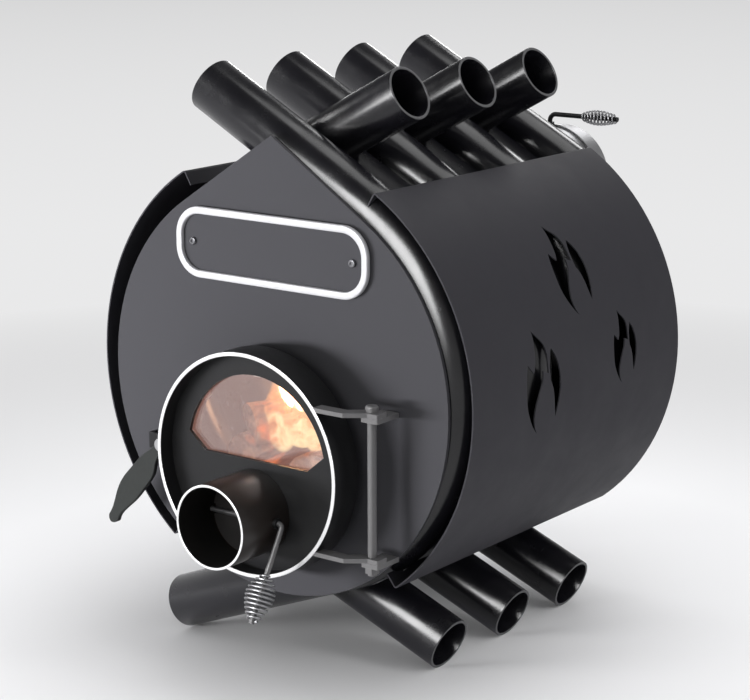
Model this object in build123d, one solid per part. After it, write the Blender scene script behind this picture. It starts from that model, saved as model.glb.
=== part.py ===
from build123d import *
import math
import os

# Convection wood stove, in millimetres. +Z up, the front looks along -Y.
# Inside this file Y = 0 is the front face of the front plate; every piece is moved by SHIFT_Y
# when it is saved, so that the origin is the middle of the footprint at floor level.

# Air tubes.
TUBE_OD = 57.0
TUBE_WALL = 3.0
TUBE_COUNT = 7
TUBE_PITCH = 58.7
TUBE_BEND_R = 203.2
TUBE_TOP_ANGLE = 61.75
TUBE_TOP_LENGTH = 226.5
TUBE_LOW_ANGLE = 68.5
TUBE_LOW_LENGTH = 245.5
SEAT_GAP = 0.3

# Front and rear plates.
PLATE_THICK = 4.0
PLATE_MARGIN = 12.8
PLATE_DROP = 12.05
PLATE_APEX_MARGIN = 14.75

# Firebox webs and baffle.
WEB_THICK = 3.0
BAFFLE_DROP = 171.0
BAFFLE_THICK = 4.0
BAFFLE_REAR_GAP = 95.0
BAFFLE_EDGE_GAP = 0.4

# Injector nozzles.
NOZZLE_OD = 20.0
NOZZLE_WALL = 2.0
NOZZLE_ANGLE = 50.0
NOZZLE_STAND = 65.2

# Casings.
CASING_STAND = 36.8
CASING_THICK = 1.5
CASING_DROP = 7.15
CASING_FRONT = 7.7
CASING_REAR_GAP = 16.4
CASING_TOP_ANGLE = 59.5
CASING_LOW_ANGLE = -52.3
CASING_TOP_LIP = 17.0
CASING_LOW_LIP = 17.5
CASING_BEND_R = 3.0

# Door.
DOOR_CENTRE_Z = 223.7
DRUM_OD = 232.6
DRUM_WALL = 4.0
DRUM_FRONT = -49.3
DRUM_BACK = -12.0
DISC_FRONT = -31.0
DISC_THICK = 4.0
COLLAR_GAP = 10.3
COLLAR_WALL = 4.0
COLLAR_FRONT = -19.0
SEAL_WIDTH = 7.6
SEAL_ROUND = 2.5
WINDOW_MARGIN = 22.3
WINDOW_CHORD_Z = 1.5
WINDOW_CHORD_HALF = 67.0
WINDOW_CORNER_Z = 19.0
GLASS_LAP = 4.5
GLASS_THICK = 4.0

# Glass clips.
CLIP_WIDTH = 12.0
CLIP_LENGTH = 13.6
CLIP_OVER_GLASS = 7.5
CLIP_TONGUE = 1.5
CLIP_SCREW_INSET = 3.0
CLIP_ANGLES = (40.0, 90.0, 140.0, 182.0, 358.0)
SMALL_SCREW_D = 3.0
SMALL_HEAD_D = 5.6
SMALL_HEAD_H = 2.0
SCREW_BITE = 2.5

# Air inlet pipe.
AIR_PIPE_OD = 87.0
AIR_PIPE_WALL = 2.5
AIR_PIPE_Z = 172.7
AIR_PIPE_FRONT = -102.7

# Damper rods and discs.
ROD_D = 5.5
ROD_FIT = 0.05
BUSH_OD = 11.0
BUSH_STAND = 4.0
ROD_HEAD_D = 10.0
ROD_HEAD_H = 2.0
AXIAL_PLAY = 0.2
FLAT_DEPTH = 1.25
FLAT_END = 3.0
ROD_PAST_COIL = 1.5
DISC_SHEET = 2.0
DISC_EDGE_GAP = 1.2
AIR_SPINDLE_Y = -52.0
AIR_HANDLE_X = 52.0
AIR_HANDLE_LEAN = 29.6
AIR_BEND_R = 5.0
AIR_COIL_START = 51.5
AIR_COIL_END = 100.5
AIR_COIL_TURNS = 11
AIR_COIL_MAX_R = 14.1
AIR_COIL_PEAK = 0.42
AIR_COIL_END_R = 4.5
AIR_WIRE_D = 2.5
FLUE_SPINDLE_BACK = 90.2
FLUE_HANDLE_RISE = 75.5
FLUE_BEND_R = 8.0
FLUE_COIL_START = 44.0
FLUE_COIL_END = 90.0
FLUE_COIL_TURNS = 10
FLUE_COIL_MAX_R = 8.0
FLUE_COIL_PEAK = 0.45
FLUE_COIL_END_R = 4.3
FLUE_WIRE_D = 2.0
DAMPER_NOTCH_R = 16.0

# Hinge.
PIN_D = 9.0
PIN_OUT = 28.7
PIN_Y = -27.0
PIN_FIT = 0.06
EYE_R = 8.0
EYE_END = 12.5
BAR_WIDTH = 14.0
TOP_BAR_RISE = 70.0
LOW_BAR_DROP = 77.0
BAR_CRANK_OUT = 9.7
BAR_CRANK_BACK = 5.0
BAR_INSET = 0.3
NUT_H = 6.0
BAR_THICK = 4.4
LUG_THICK = 5.0
BAR_GAP = 0.2
PIN_HEAD_D = 13.0
PIN_HEAD_H = 6.5
PIN_TAIL = 9.0

# Latch.
LATCH_OUT = 8.3
LATCH_DROP = 1.7
LATCH_BOSS_OD = 16.0
LATCH_BOSS_FRONT = -30.5
LATCH_BOSS_BACK = -13.0
LATCH_SHAFT_D = 10.0
LEVER_FRONT = -36.0
LEVER_BACK = -31.0
SHAFT_HEAD_H = 2.5
SHAFT_HEAD_D = 14.0
CAM_FRONT = -9.0
CAM_BACK = -4.0
CAM_REACH = 27.0
CAM_WIDTH = 11.0
CAM_REST_ANGLE = 138.0
KEEPER_LIP_FRONT = -12.6
KEEPER_LIP_BACK = -9.6
KEEPER_LEG = 3.0
KEEPER_BELOW = 14.0
KEEPER_ABOVE = 3.0
KEEPER_LIP_CLEAR = 14.0
KEEPER_TIP_GAP = 2.0

# Flue neck.
FLUE_OD = 120.0
FLUE_WALL = 3.0
FLUE_DROP = 106.0
FLUE_LENGTH = 124.2
FLUE_SPIGOT = 24.5
FLUE_BEAD_WIDTH = 3.0
FLUE_BEAD_PROUD = 2.5

# Nameplate.
NAMEPLATE_W = 247.0
NAMEPLATE_H = 73.6
NAMEPLATE_DROP = 116.0
NAMEPLATE_CORNER = 31.0
NAMEPLATE_RING = 7.5
NAMEPLATE_PROUD = 6.0
NAMEPLATE_FIELD = 2.0
NAMEPLATE_SCREW_INSET = 20.5
NAMEPLATE_HEAD_D = 8.0
NAMEPLATE_HEAD_H = 2.6

# Values that follow from those above.
TUBE_R = TUBE_OD / 2
TUBE_BORE_R = TUBE_R - TUBE_WALL
FIRST_TUBE_Y = PLATE_THICK + SEAT_GAP + TUBE_R
TUBE_Y = [FIRST_TUBE_Y + TUBE_PITCH * k for k in range(TUBE_COUNT)]
RIGHT_Y = TUBE_Y[0::2]
LEFT_Y = TUBE_Y[1::2]
REAR_PLATE_Y = TUBE_Y[-1] + TUBE_R + SEAT_GAP
REAR_FACE_Y = REAR_PLATE_Y + PLATE_THICK
LOW_ANGLE = math.radians(TUBE_LOW_ANGLE)
TOP_ANGLE = math.radians(TUBE_TOP_ANGLE)
TUBE_CENTRE_Z = (
    TUBE_BEND_R * math.sin(LOW_ANGLE)
    + TUBE_LOW_LENGTH * math.cos(LOW_ANGLE)
    + TUBE_R * math.sin(LOW_ANGLE)
)
PLATE_R = TUBE_BEND_R + PLATE_MARGIN
PLATE_CENTRE_Z = TUBE_CENTRE_Z - PLATE_DROP
PLATE_APEX_Z = TUBE_CENTRE_Z + TUBE_BEND_R / math.sin(TOP_ANGLE) + PLATE_APEX_MARGIN
BAFFLE_Z = PLATE_APEX_Z - BAFFLE_DROP
FLUE_Z = PLATE_APEX_Z - FLUE_DROP
NAMEPLATE_Z = PLATE_APEX_Z - NAMEPLATE_DROP
NOZZLE_TIP_R = TUBE_BEND_R - NOZZLE_STAND
CASING_R = TUBE_BEND_R + CASING_STAND
CASING_CENTRE_Z = TUBE_CENTRE_Z - CASING_DROP
CASING_REAR = REAR_PLATE_Y - CASING_REAR_GAP
BAFFLE_HALF_WIDTH = math.sqrt(
    (TUBE_BEND_R - WEB_THICK / 2) ** 2 - (BAFFLE_Z + BAFFLE_THICK - TUBE_CENTRE_Z) ** 2
) - BAFFLE_EDGE_GAP
DRUM_R = DRUM_OD / 2
DRUM_BORE_R = DRUM_R - DRUM_WALL
DISC_BACK = DISC_FRONT + DISC_THICK
COLLAR_R = DRUM_R - COLLAR_GAP
COLLAR_BORE_R = COLLAR_R - COLLAR_WALL
SEAL_MIDDLE_R = COLLAR_R - COLLAR_WALL / 2 + 1
SEAL_INNER_R = SEAL_MIDDLE_R - SEAL_WIDTH / 2
SEAL_OUTER_R = SEAL_MIDDLE_R + SEAL_WIDTH / 2
WINDOW_R = DRUM_BORE_R - WINDOW_MARGIN
CLIP_INNER_R = WINDOW_R + GLASS_LAP - CLIP_OVER_GLASS
CLIP_OUTER_R = CLIP_INNER_R + CLIP_LENGTH
CLIP_SCREW_R = CLIP_OUTER_R - CLIP_SCREW_INSET
AIR_PIPE_R = AIR_PIPE_OD / 2
AIR_BORE_R = AIR_PIPE_R - AIR_PIPE_WALL
ROD_R = ROD_D / 2
FLUE_R = FLUE_OD / 2
FLUE_BORE_R = FLUE_R - FLUE_WALL
PIN_R = PIN_D / 2
PIN_X = DRUM_R + PIN_OUT
TOP_BAR_LOW_Z = DOOR_CENTRE_Z + TOP_BAR_RISE
LOW_BAR_LOW_Z = DOOR_CENTRE_Z - LOW_BAR_DROP
LATCH_X = -DRUM_R - LATCH_OUT
LATCH_Z = DOOR_CENTRE_Z - LATCH_DROP
FLUE_REAR = REAR_FACE_Y + FLUE_LENGTH
FLUE_BEAD_REAR = FLUE_REAR - FLUE_SPIGOT
FLUE_SPINDLE_Y = REAR_FACE_Y + FLUE_SPINDLE_BACK
FLUE_HANDLE_Z = FLUE_Z + FLUE_HANDLE_RISE
NAMEPLATE_SCREW_X = NAMEPLATE_W / 2 - NAMEPLATE_SCREW_INSET


def ring_path(radius, side):
    """Tube centreline in the plane Y = 0, from its lower end to its upper end."""
    low = (radius * math.cos(LOW_ANGLE), TUBE_CENTRE_Z - radius * math.sin(LOW_ANGLE))
    top = (radius * math.cos(TOP_ANGLE), TUBE_CENTRE_Z + radius * math.sin(TOP_ANGLE))
    foot = (
        low[0] - TUBE_LOW_LENGTH * math.sin(LOW_ANGLE),
        low[1] - TUBE_LOW_LENGTH * math.cos(LOW_ANGLE),
    )
    mouth = (
        top[0] - TUBE_TOP_LENGTH * math.sin(TOP_ANGLE),
        top[1] + TUBE_TOP_LENGTH * math.cos(TOP_ANGLE),
    )
    points = [(side * x, 0, z) for x, z in (foot, low, (radius, TUBE_CENTRE_Z), top, mouth)]
    return Wire([
        Edge.make_line(points[0], points[1]),
        Edge.make_three_point_arc(points[1], points[2], points[3]),
        Edge.make_line(points[3], points[4]),
    ])


def swept_bar(path, radius):
    """Round bar of the given radius along a path."""
    plane = Plane(origin=path.position_at(0), z_dir=path.tangent_at(0))
    return sweep(plane * Circle(radius), path=path)


def along_y(radius, y0, y1, x=0.0, z=0.0):
    """Cylinder along Y between two planes."""
    plane = Plane(origin=(x, y0, z), z_dir=(0, 1, 0))
    return extrude(plane * Circle(radius), y1 - y0)


def along_x(radius, x0, x1, y=0.0, z=0.0):
    """Cylinder along X between two planes."""
    plane = Plane(origin=(x0, y, z), z_dir=(1, 0, 0))
    return extrude(plane * Circle(radius), x1 - x0)


def along_z(radius, z0, z1, x=0.0, y=0.0):
    """Cylinder along Z between two planes."""
    plane = Plane(origin=(x, y, z0), z_dir=(0, 0, 1))
    return extrude(plane * Circle(radius), z1 - z0)


def slab(outline, y0, y1):
    """Plate whose outline is a face drawn in XZ, between two Y planes."""
    plane = Plane(origin=(0, y0, 0), x_dir=(1, 0, 0), z_dir=(0, -1, 0))
    return extrude(plane * outline, y1 - y0, dir=(0, 1, 0))


def block(x0, x1, y0, y1, z0, z1):
    """Rectangular block between six planes."""
    return Pos((x0 + x1) / 2, (y0 + y1) / 2, (z0 + z1) / 2) * Box(x1 - x0, y1 - y0, z1 - z0)


def outline_face(segments):
    """Closed face from runs of points: two points make a line, more make a smooth curve."""
    edges = []
    for run in segments:
        if len(run) == 2:
            edges.append(Edge.make_line((*run[0], 0), (*run[1], 0)))
        else:
            edges.append(Edge.make_spline([(*point, 0) for point in run]))
    return Face(Wire(edges))


def polar(radius, degrees, centre=(0.0, 0.0)):
    """Point at a polar angle in a plane."""
    angle = math.radians(degrees)
    return (centre[0] + radius * math.cos(angle), centre[1] + radius * math.sin(angle))


# Air tubes.
def air_tube(side, y, growth=0.0):
    """One bent tube, or the solid bar it fills with extra radius when growth is given."""
    path = ring_path(TUBE_BEND_R, side)
    outer = swept_bar(path, TUBE_R + growth)
    if growth:
        return Pos(0, y, 0) * outer
    plane = Plane(origin=path.position_at(0), z_dir=path.tangent_at(0))
    return Pos(0, y, 0) * sweep(plane * (Circle(TUBE_R) - Circle(TUBE_BORE_R)), path=path)


GROWN = [air_tube(1 if k % 2 == 0 else -1, y, SEAT_GAP) for k, y in enumerate(TUBE_Y)]
GROWN_RIGHT = GROWN[0::2]
GROWN_LEFT = GROWN[1::2]


def largest(shape):
    """The biggest solid of a cut shape; slivers left beyond the tubes are offcuts."""
    return max(shape.solids(), key=lambda solid: solid.volume)


# Injector nozzles.
def nozzle_line(side):
    """Start outside the tube bore and direction towards the fire."""
    angle = math.radians(NOZZLE_ANGLE)
    y = TUBE_Y[0] if side > 0 else TUBE_Y[1]
    out = Vector(side * math.cos(angle), 0, math.sin(angle))
    return Vector(0, y, TUBE_CENTRE_Z) + out * TUBE_BEND_R, out * -1


def nozzle_bar(side, radius, reach):
    """Round bar from the tube centreline inwards."""
    start, inward = nozzle_line(side)
    return extrude(Plane(origin=start, z_dir=inward) * Circle(radius), reach)


NOZZLE_REACH = TUBE_BEND_R - NOZZLE_TIP_R
NOZZLE_BORE_R = NOZZLE_OD / 2 - NOZZLE_WALL
nozzles = []
for side, grown in ((1, GROWN[0]), (-1, GROWN[1])):
    stub = nozzle_bar(side, NOZZLE_OD / 2, NOZZLE_REACH) - grown
    nozzles.append(largest(stub - nozzle_bar(side, NOZZLE_BORE_R, NOZZLE_REACH)))

tubes_right = [air_tube(1, y) for y in RIGHT_Y]
tubes_left = [air_tube(-1, y) for y in LEFT_Y]
tubes_right[0] = tubes_right[0] - nozzle_bar(1, NOZZLE_BORE_R, TUBE_R + 2)
tubes_left[0] = tubes_left[0] - nozzle_bar(-1, NOZZLE_BORE_R, TUBE_R + 2)


# Front and rear plates.
def plate_outline():
    """Disc drawn up to a point by two straight edges that leave it on tangents."""
    angle = math.asin(PLATE_R / (PLATE_APEX_Z - PLATE_CENTRE_Z))
    right = (PLATE_R * math.cos(angle), PLATE_CENTRE_Z + PLATE_R * math.sin(angle), 0)
    left = (-right[0], right[1], 0)
    apex = (0, PLATE_APEX_Z, 0)
    bottom = (0, PLATE_CENTRE_Z - PLATE_R, 0)
    return Face(Wire([
        Edge.make_three_point_arc(left, bottom, right),
        Edge.make_line(right, apex),
        Edge.make_line(apex, left),
    ]))


front_plate = slab(plate_outline(), 0, PLATE_THICK)
front_plate -= along_y(COLLAR_BORE_R, -1, PLATE_THICK + 1, z=DOOR_CENTRE_Z)
rear_plate = slab(plate_outline(), REAR_PLATE_Y, REAR_FACE_Y)
rear_plate -= along_y(FLUE_BORE_R, REAR_PLATE_Y - 1, REAR_FACE_Y + 1, z=FLUE_Z)


# Webs between the tubes.
def web_outline(side):
    """Half of the firebox wall in section: the tube centreline from apex to apex, with thickness."""
    loops = []
    for radius in (TUBE_BEND_R + WEB_THICK / 2, TUBE_BEND_R - WEB_THICK / 2):
        low = polar(radius, -TUBE_LOW_ANGLE, (0, TUBE_CENTRE_Z))
        top = polar(radius, TUBE_TOP_ANGLE, (0, TUBE_CENTRE_Z))
        low_z = low[1] - low[0] / math.tan(LOW_ANGLE)
        top_z = top[1] + top[0] / math.tan(TOP_ANGLE)
        loops.append([(0, low_z), low, (radius, TUBE_CENTRE_Z), top, (0, top_z)])
    outer, inner = [[(side * x, z, 0) for x, z in loop] for loop in loops]
    return Face(Wire([
        Edge.make_line(outer[0], outer[1]),
        Edge.make_three_point_arc(outer[1], outer[2], outer[3]),
        Edge.make_line(outer[3], outer[4]),
        Edge.make_line(outer[4], inner[4]),
        Edge.make_line(inner[4], inner[3]),
        Edge.make_three_point_arc(inner[3], inner[2], inner[1]),
        Edge.make_line(inner[1], inner[0]),
        Edge.make_line(inner[0], outer[0]),
    ]))


def web(side, y0, y1, bars):
    """One strip of firebox wall between two planes, trimmed to the tubes it meets."""
    strip = slab(web_outline(side), y0, y1)
    for bar in bars:
        strip = strip - bar
    return largest(strip)


webs_right = []
for index in range(len(RIGHT_Y) - 1):
    bars = [GROWN_RIGHT[index], GROWN_RIGHT[index + 1], GROWN_LEFT[index]]
    webs_right.append(web(1, RIGHT_Y[index], RIGHT_Y[index + 1], bars))
webs_left = []
left_edges = [PLATE_THICK + SEAT_GAP] + LEFT_Y + [REAR_PLATE_Y - SEAT_GAP]
for index in range(len(left_edges) - 1):
    bars = [GROWN_RIGHT[index]] + GROWN_LEFT[max(index - 1, 0):index + 1]
    webs_left.append(web(-1, left_edges[index], left_edges[index + 1], bars))

# Baffle over the fire.
baffle = block(
    -BAFFLE_HALF_WIDTH, BAFFLE_HALF_WIDTH,
    PLATE_THICK + SEAT_GAP, REAR_PLATE_Y - BAFFLE_REAR_GAP,
    BAFFLE_Z, BAFFLE_Z + BAFFLE_THICK,
)
for bar in GROWN:
    baffle = baffle - bar
baffle = largest(baffle)


# Flame-shaped cut-outs.
# Millimetres at full size from the tip of the tall tongue: first across, then up.
FLAME_TONGUE = [
    [(0, 0), (9.4, -8.8), (18.2, -18), (21.5, -27), (22.0, -38), (22, -47)],
    [(22, -47), (12.6, -43.0)],
    [(12.6, -43.0), (11.8, -52), (7.6, -59.5)],
    [(7.6, -59.5), (3.0, -69), (-1, -80), (-2, -88), (0.5, -98), (5.8, -106.6)],
    [
        (5.8, -106.6), (-1.3, -100), (-7.6, -92), (-12.6, -83.4),
        (-16.1, -74.5), (-17.6, -61), (-17.1, -46), (-14, -32.5),
    ],
    [(-14, -32.5), (-4, -42.5)],
    [(-4, -42.5), (-0.6, -33), (1.2, -19.4), (1.5, -9), (0, 0)],
]
FLAME_CRESCENT = [
    [(29.8, -22.7), (38.3, -34.5), (43, -49), (44, -60), (42, -77), (36.8, -94.8)],
    [(36.8, -94.8), (33.9, -82), (31, -67), (25.4, -55)],
    [(25.4, -55), (24.6, -45), (26.5, -31), (29.8, -22.7)],
]
FLAMES = [
    # (Y of the tip, arc height of the tip above the casing's centre, scale)
    (118.0, 65.7, 1.0),
    (204.2, 165.4, 0.94),
    (277.6, 59.1, 0.735),
]
FLAME_MIDDLE = -53.0
FLAME_CUT_START = 20.0
FLAME_CUT_DEPTH = 40.0


def flame_cutter(side, y_tip, arc_tip, scale):
    """Prisms that cut one flame through a casing, square to the sheet at its middle."""
    middle = (arc_tip + FLAME_MIDDLE * scale) / CASING_R
    out = Vector(side * math.cos(middle), 0, math.sin(middle))
    centre = Vector(0, y_tip, CASING_CENTRE_Z) + out * (CASING_R - FLAME_CUT_START)
    plane = Plane(origin=centre, x_dir=(0, 1, 0), z_dir=out)
    upward = 1 if plane.y_dir.Z > 0 else -1
    prisms = []
    for loop in (FLAME_TONGUE, FLAME_CRESCENT):
        runs = []
        for run in loop:
            points = []
            for across, up in run:
                arc = (up - FLAME_MIDDLE) * scale / CASING_R
                points.append((across * scale, upward * CASING_R * math.sin(arc)))
            runs.append(points)
        prisms.append(extrude(plane * outline_face(runs), FLAME_CUT_DEPTH, dir=out))
    return prisms


# Casings.
def casing_outline(side):
    """Sheet in section: an arc with a lip bent towards the tubes at each edge."""
    inner_r = CASING_R - CASING_THICK
    centre = (0, CASING_CENTRE_Z)
    top = math.radians(CASING_TOP_ANGLE)
    low = math.radians(CASING_LOW_ANGLE)
    down_top = Vector(math.sin(top), -math.cos(top)) * CASING_THICK
    up_low = Vector(-math.sin(low), math.cos(low)) * CASING_THICK

    def at(radius, degrees, move=Vector(0, 0)):
        x, z = polar(radius, degrees, centre)
        return (side * (x + move.X), z + move.Y, 0)

    slip = math.degrees(CASING_THICK / inner_r)
    outer_top = at(CASING_R, CASING_TOP_ANGLE)
    outer_low = at(CASING_R, CASING_LOW_ANGLE)
    inner_top = at(inner_r, CASING_TOP_ANGLE - slip)
    inner_low = at(inner_r, CASING_LOW_ANGLE + slip)
    free_top = CASING_R - CASING_TOP_LIP
    free_low = CASING_R - CASING_LOW_LIP
    face = Face(Wire([
        Edge.make_three_point_arc(outer_low, at(CASING_R, 0), outer_top),
        Edge.make_line(outer_top, at(free_top, CASING_TOP_ANGLE)),
        Edge.make_line(at(free_top, CASING_TOP_ANGLE), at(free_top, CASING_TOP_ANGLE, down_top)),
        Edge.make_line(at(free_top, CASING_TOP_ANGLE, down_top), inner_top),
        Edge.make_three_point_arc(inner_top, at(inner_r, 0), inner_low),
        Edge.make_line(inner_low, at(free_low, CASING_LOW_ANGLE, up_low)),
        Edge.make_line(at(free_low, CASING_LOW_ANGLE, up_low), at(free_low, CASING_LOW_ANGLE)),
        Edge.make_line(at(free_low, CASING_LOW_ANGLE), outer_low),
    ]))
    outside = [v for v in face.vertices() if (Vector(v) - Vector(*outer_top)).length < 0.01]
    outside += [v for v in face.vertices() if (Vector(v) - Vector(*outer_low)).length < 0.01]
    inside = [v for v in face.vertices() if (Vector(v) - Vector(*inner_top)).length < 0.01]
    inside += [v for v in face.vertices() if (Vector(v) - Vector(*inner_low)).length < 0.01]
    face = face.fillet_2d(CASING_BEND_R, outside)
    inside = [
        v for v in face.vertices()
        if min((Vector(v) - Vector(*p)).length for p in (inner_top, inner_low)) < 0.01
    ]
    return face.fillet_2d(CASING_BEND_R - CASING_THICK, inside)


def casing(side, bars):
    """Outer sheet of one side with its notches round the tubes and three flames."""
    sheet = slab(casing_outline(side), CASING_FRONT, CASING_REAR)
    for bar in bars:
        sheet = sheet - bar
    for y_tip, arc_tip, scale in FLAMES:
        for prism in flame_cutter(side, y_tip, arc_tip, scale):
            sheet = sheet - prism
    return largest(sheet)


casing_right = casing(1, GROWN_RIGHT)
casing_left = casing(-1, GROWN_LEFT)

# Collar, drum and disc.
door_collar = along_y(COLLAR_R, COLLAR_FRONT, 0, z=DOOR_CENTRE_Z)
door_collar -= along_y(COLLAR_BORE_R, COLLAR_FRONT - 1, 1, z=DOOR_CENTRE_Z)
door_drum = along_y(DRUM_R, DRUM_FRONT, DRUM_BACK, z=DOOR_CENTRE_Z)
door_drum -= along_y(DRUM_BORE_R, DRUM_FRONT - 1, DRUM_BACK + 1, z=DOOR_CENTRE_Z)
door_drum = chamfer(door_drum.edges().filter_by(GeomType.CIRCLE).group_by(Axis.Y)[0], 0.6)


def window_outline(lap):
    """Segment window with cut lower corners, grown by a lap all round."""
    radius = WINDOW_R + lap
    corner_z = WINDOW_CORNER_Z + lap * 0.4
    corner_x = math.sqrt(radius ** 2 - corner_z ** 2)
    chord_z = WINDOW_CHORD_Z - lap
    points = [(corner_x, corner_z), (WINDOW_CHORD_HALF + lap * 0.4, chord_z)]
    points += [(-x, z) for x, z in reversed(points)]
    points = [(x, z + DOOR_CENTRE_Z, 0) for x, z in points]
    return Face(Wire([
        Edge.make_line(points[0], points[1]),
        Edge.make_line(points[1], points[2]),
        Edge.make_line(points[2], points[3]),
        Edge.make_three_point_arc(points[3], (0, DOOR_CENTRE_Z + radius, 0), points[0]),
    ]))


door_disc = along_y(DRUM_BORE_R, DISC_FRONT, DISC_BACK, z=DOOR_CENTRE_Z)
door_disc -= slab(window_outline(0), DISC_FRONT - 1, DISC_BACK + 1)
door_disc -= along_y(AIR_BORE_R, DISC_FRONT - 1, DISC_BACK + 1, z=AIR_PIPE_Z)
window_glass = slab(
    window_outline(GLASS_LAP), DISC_BACK + SEAT_GAP, DISC_BACK + SEAT_GAP + GLASS_THICK
)

# Door seal.
seal_section = Pos(
    (SEAL_INNER_R + SEAL_OUTER_R) / 2, (DISC_BACK + COLLAR_FRONT - SEAT_GAP) / 2
) * RectangleRounded(
    SEAL_OUTER_R - SEAL_INNER_R, COLLAR_FRONT - SEAT_GAP - DISC_BACK, SEAL_ROUND
)
door_seal = Pos(0, 0, DOOR_CENTRE_Z) * revolve(seal_section, Axis.Y)

# Glass clips with their screws.
GLASS_BACK = DISC_BACK + SEAT_GAP + GLASS_THICK
CLIP_TOP = GLASS_BACK + SEAT_GAP + CLIP_TONGUE
CLIP_FOOT_R = WINDOW_R + GLASS_LAP + 0.6


def clip_and_screw(degrees):
    """Stepped clip over the edge of the glass, and the screw that holds it to the disc."""
    tongue = block(CLIP_INNER_R, CLIP_OUTER_R, GLASS_BACK + SEAT_GAP, CLIP_TOP,
                   -CLIP_WIDTH / 2, CLIP_WIDTH / 2)
    foot = block(CLIP_FOOT_R, CLIP_OUTER_R, DISC_BACK, CLIP_TOP, -CLIP_WIDTH / 2, CLIP_WIDTH / 2)
    clip = tongue + foot
    clip &= along_y(CLIP_OUTER_R, DISC_BACK, CLIP_TOP)
    hole = along_y(SMALL_SCREW_D / 2, DISC_FRONT - 1, CLIP_TOP + 1, x=CLIP_SCREW_R)
    screw = along_y(SMALL_SCREW_D / 2, DISC_BACK - SCREW_BITE, CLIP_TOP, x=CLIP_SCREW_R)
    screw += along_y(SMALL_HEAD_D / 2, CLIP_TOP, CLIP_TOP + SMALL_HEAD_H, x=CLIP_SCREW_R)
    turn = Pos(0, 0, DOOR_CENTRE_Z) * Rot(0, -degrees, 0)
    tapped = along_y(SMALL_SCREW_D / 2, DISC_BACK - SCREW_BITE, DISC_BACK + 1, x=CLIP_SCREW_R)
    return turn * (clip - hole), turn * screw, turn * tapped


glass_clips = []
clip_screws = []
for degrees in CLIP_ANGLES:
    clip, screw, tapped = clip_and_screw(degrees)
    glass_clips.append(clip)
    clip_screws.append(screw)
    door_disc -= tapped

# Air inlet pipe.
air_pipe = along_y(AIR_PIPE_R, AIR_PIPE_FRONT, DISC_FRONT, z=AIR_PIPE_Z)
air_pipe -= along_y(AIR_BORE_R, AIR_PIPE_FRONT - 1, DISC_FRONT + 1, z=AIR_PIPE_Z)


# Damper rods.
def bent_rod(start, corner, end, bend):
    """Round rod with one bend, from start past a corner to the end."""
    first = (Vector(*corner) - Vector(*start)).normalized()
    second = (Vector(*end) - Vector(*corner)).normalized()
    turn_in = Vector(*corner) - first * bend
    turn_out = Vector(*corner) + second * bend
    path = Wire([
        Edge.make_line(Vector(*start), turn_in),
        Edge.make_tangent_arc(turn_in, first, turn_out),
        Edge.make_line(turn_out, Vector(*end)),
    ])
    return swept_bar(path, ROD_R)


def coil_radius(share, start_r, max_r, end_r, peak):
    """Centreline radius of a barrel grip at a share of its length."""
    if share < peak:
        return start_r + (max_r - start_r) * math.sin(math.pi / 2 * share / peak)
    return end_r + (max_r - end_r) * math.cos(math.pi / 2 * (share - peak) / (1 - peak))


def barrel_coil(name, length, turns, wire_d, shape):
    """Unbroken wire wound as a barrel on the Z axis: half-turn biarcs swept in one run."""
    halves = turns * 2

    def point(step):
        share = step / halves
        radius = coil_radius(share, *shape)
        angle = math.pi * step
        height = wire_d / 2 + (length - wire_d) * share
        return Vector(radius * math.cos(angle), radius * math.sin(angle), height)

    def heading(step):
        small = 0.01
        low = max(step - small, 0)
        high = min(step + small, halves)
        return (point(high) - point(low)).normalized()

    edges = []
    for step in range(halves):
        p0, p1 = point(step), point(step + 1)
        t0, t1 = heading(step), heading(step + 1)
        chord = p1 - p0
        both = t0 + t1
        spread = 2 * (1 - t0.dot(t1))
        reach = chord.dot(both)
        d = (-reach + math.sqrt(reach ** 2 + spread * chord.dot(chord))) / spread
        joint = (p0 + t0 * d + p1 - t1 * d) * 0.5
        through = (chord - both * d).normalized()
        edges.append(Edge.make_tangent_arc(p0, t0, joint))
        edges.append(Edge.make_tangent_arc(joint, through, p1))
    samples = [edge.position_at(i / 8) for edge in edges for i in range(8)]
    per_turn = 4 * 8
    least = min(
        (samples[i] - samples[j]).length - wire_d
        for i in range(len(samples))
        for j in range(i + per_turn // 2, min(i + 2 * per_turn, len(samples)))
    )
    print(f"{name}: {turns} turns, least gap to itself {least:.2f} mm")
    return swept_bar(Wire(edges), wire_d / 2)


# Air damper.
LEAN = math.radians(AIR_HANDLE_LEAN)
AIR_DOWN = Vector(0, -math.sin(LEAN), -math.cos(LEAN))
AIR_AXIS = Vector(0, AIR_SPINDLE_Y, AIR_PIPE_Z)
AIR_BUSH_OUT = AIR_HANDLE_X - AIR_BEND_R - 0.3
AIR_HEAD_X = -(AIR_BUSH_OUT + AXIAL_PLAY)
air_corner = Vector(AIR_HANDLE_X, 0, 0) + AIR_AXIS
air_rod = bent_rod(
    (AIR_HEAD_X, AIR_SPINDLE_Y, AIR_PIPE_Z),
    tuple(air_corner),
    tuple(air_corner + AIR_DOWN * (AIR_COIL_END + ROD_PAST_COIL)),
    AIR_BEND_R,
)
air_rod += along_x(ROD_HEAD_D / 2, AIR_HEAD_X - ROD_HEAD_H, AIR_HEAD_X,
                   y=AIR_SPINDLE_Y, z=AIR_PIPE_Z)
AIR_DISC_R = AIR_BORE_R - DISC_EDGE_GAP
AIR_FLAT_Y = AIR_SPINDLE_Y + ROD_R - FLAT_DEPTH
air_flat_half = AIR_DISC_R - FLAT_END
air_rod -= block(-air_flat_half, air_flat_half, AIR_FLAT_Y, AIR_SPINDLE_Y + ROD_R + 1,
                 AIR_PIPE_Z - ROD_D, AIR_PIPE_Z + ROD_D)
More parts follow.
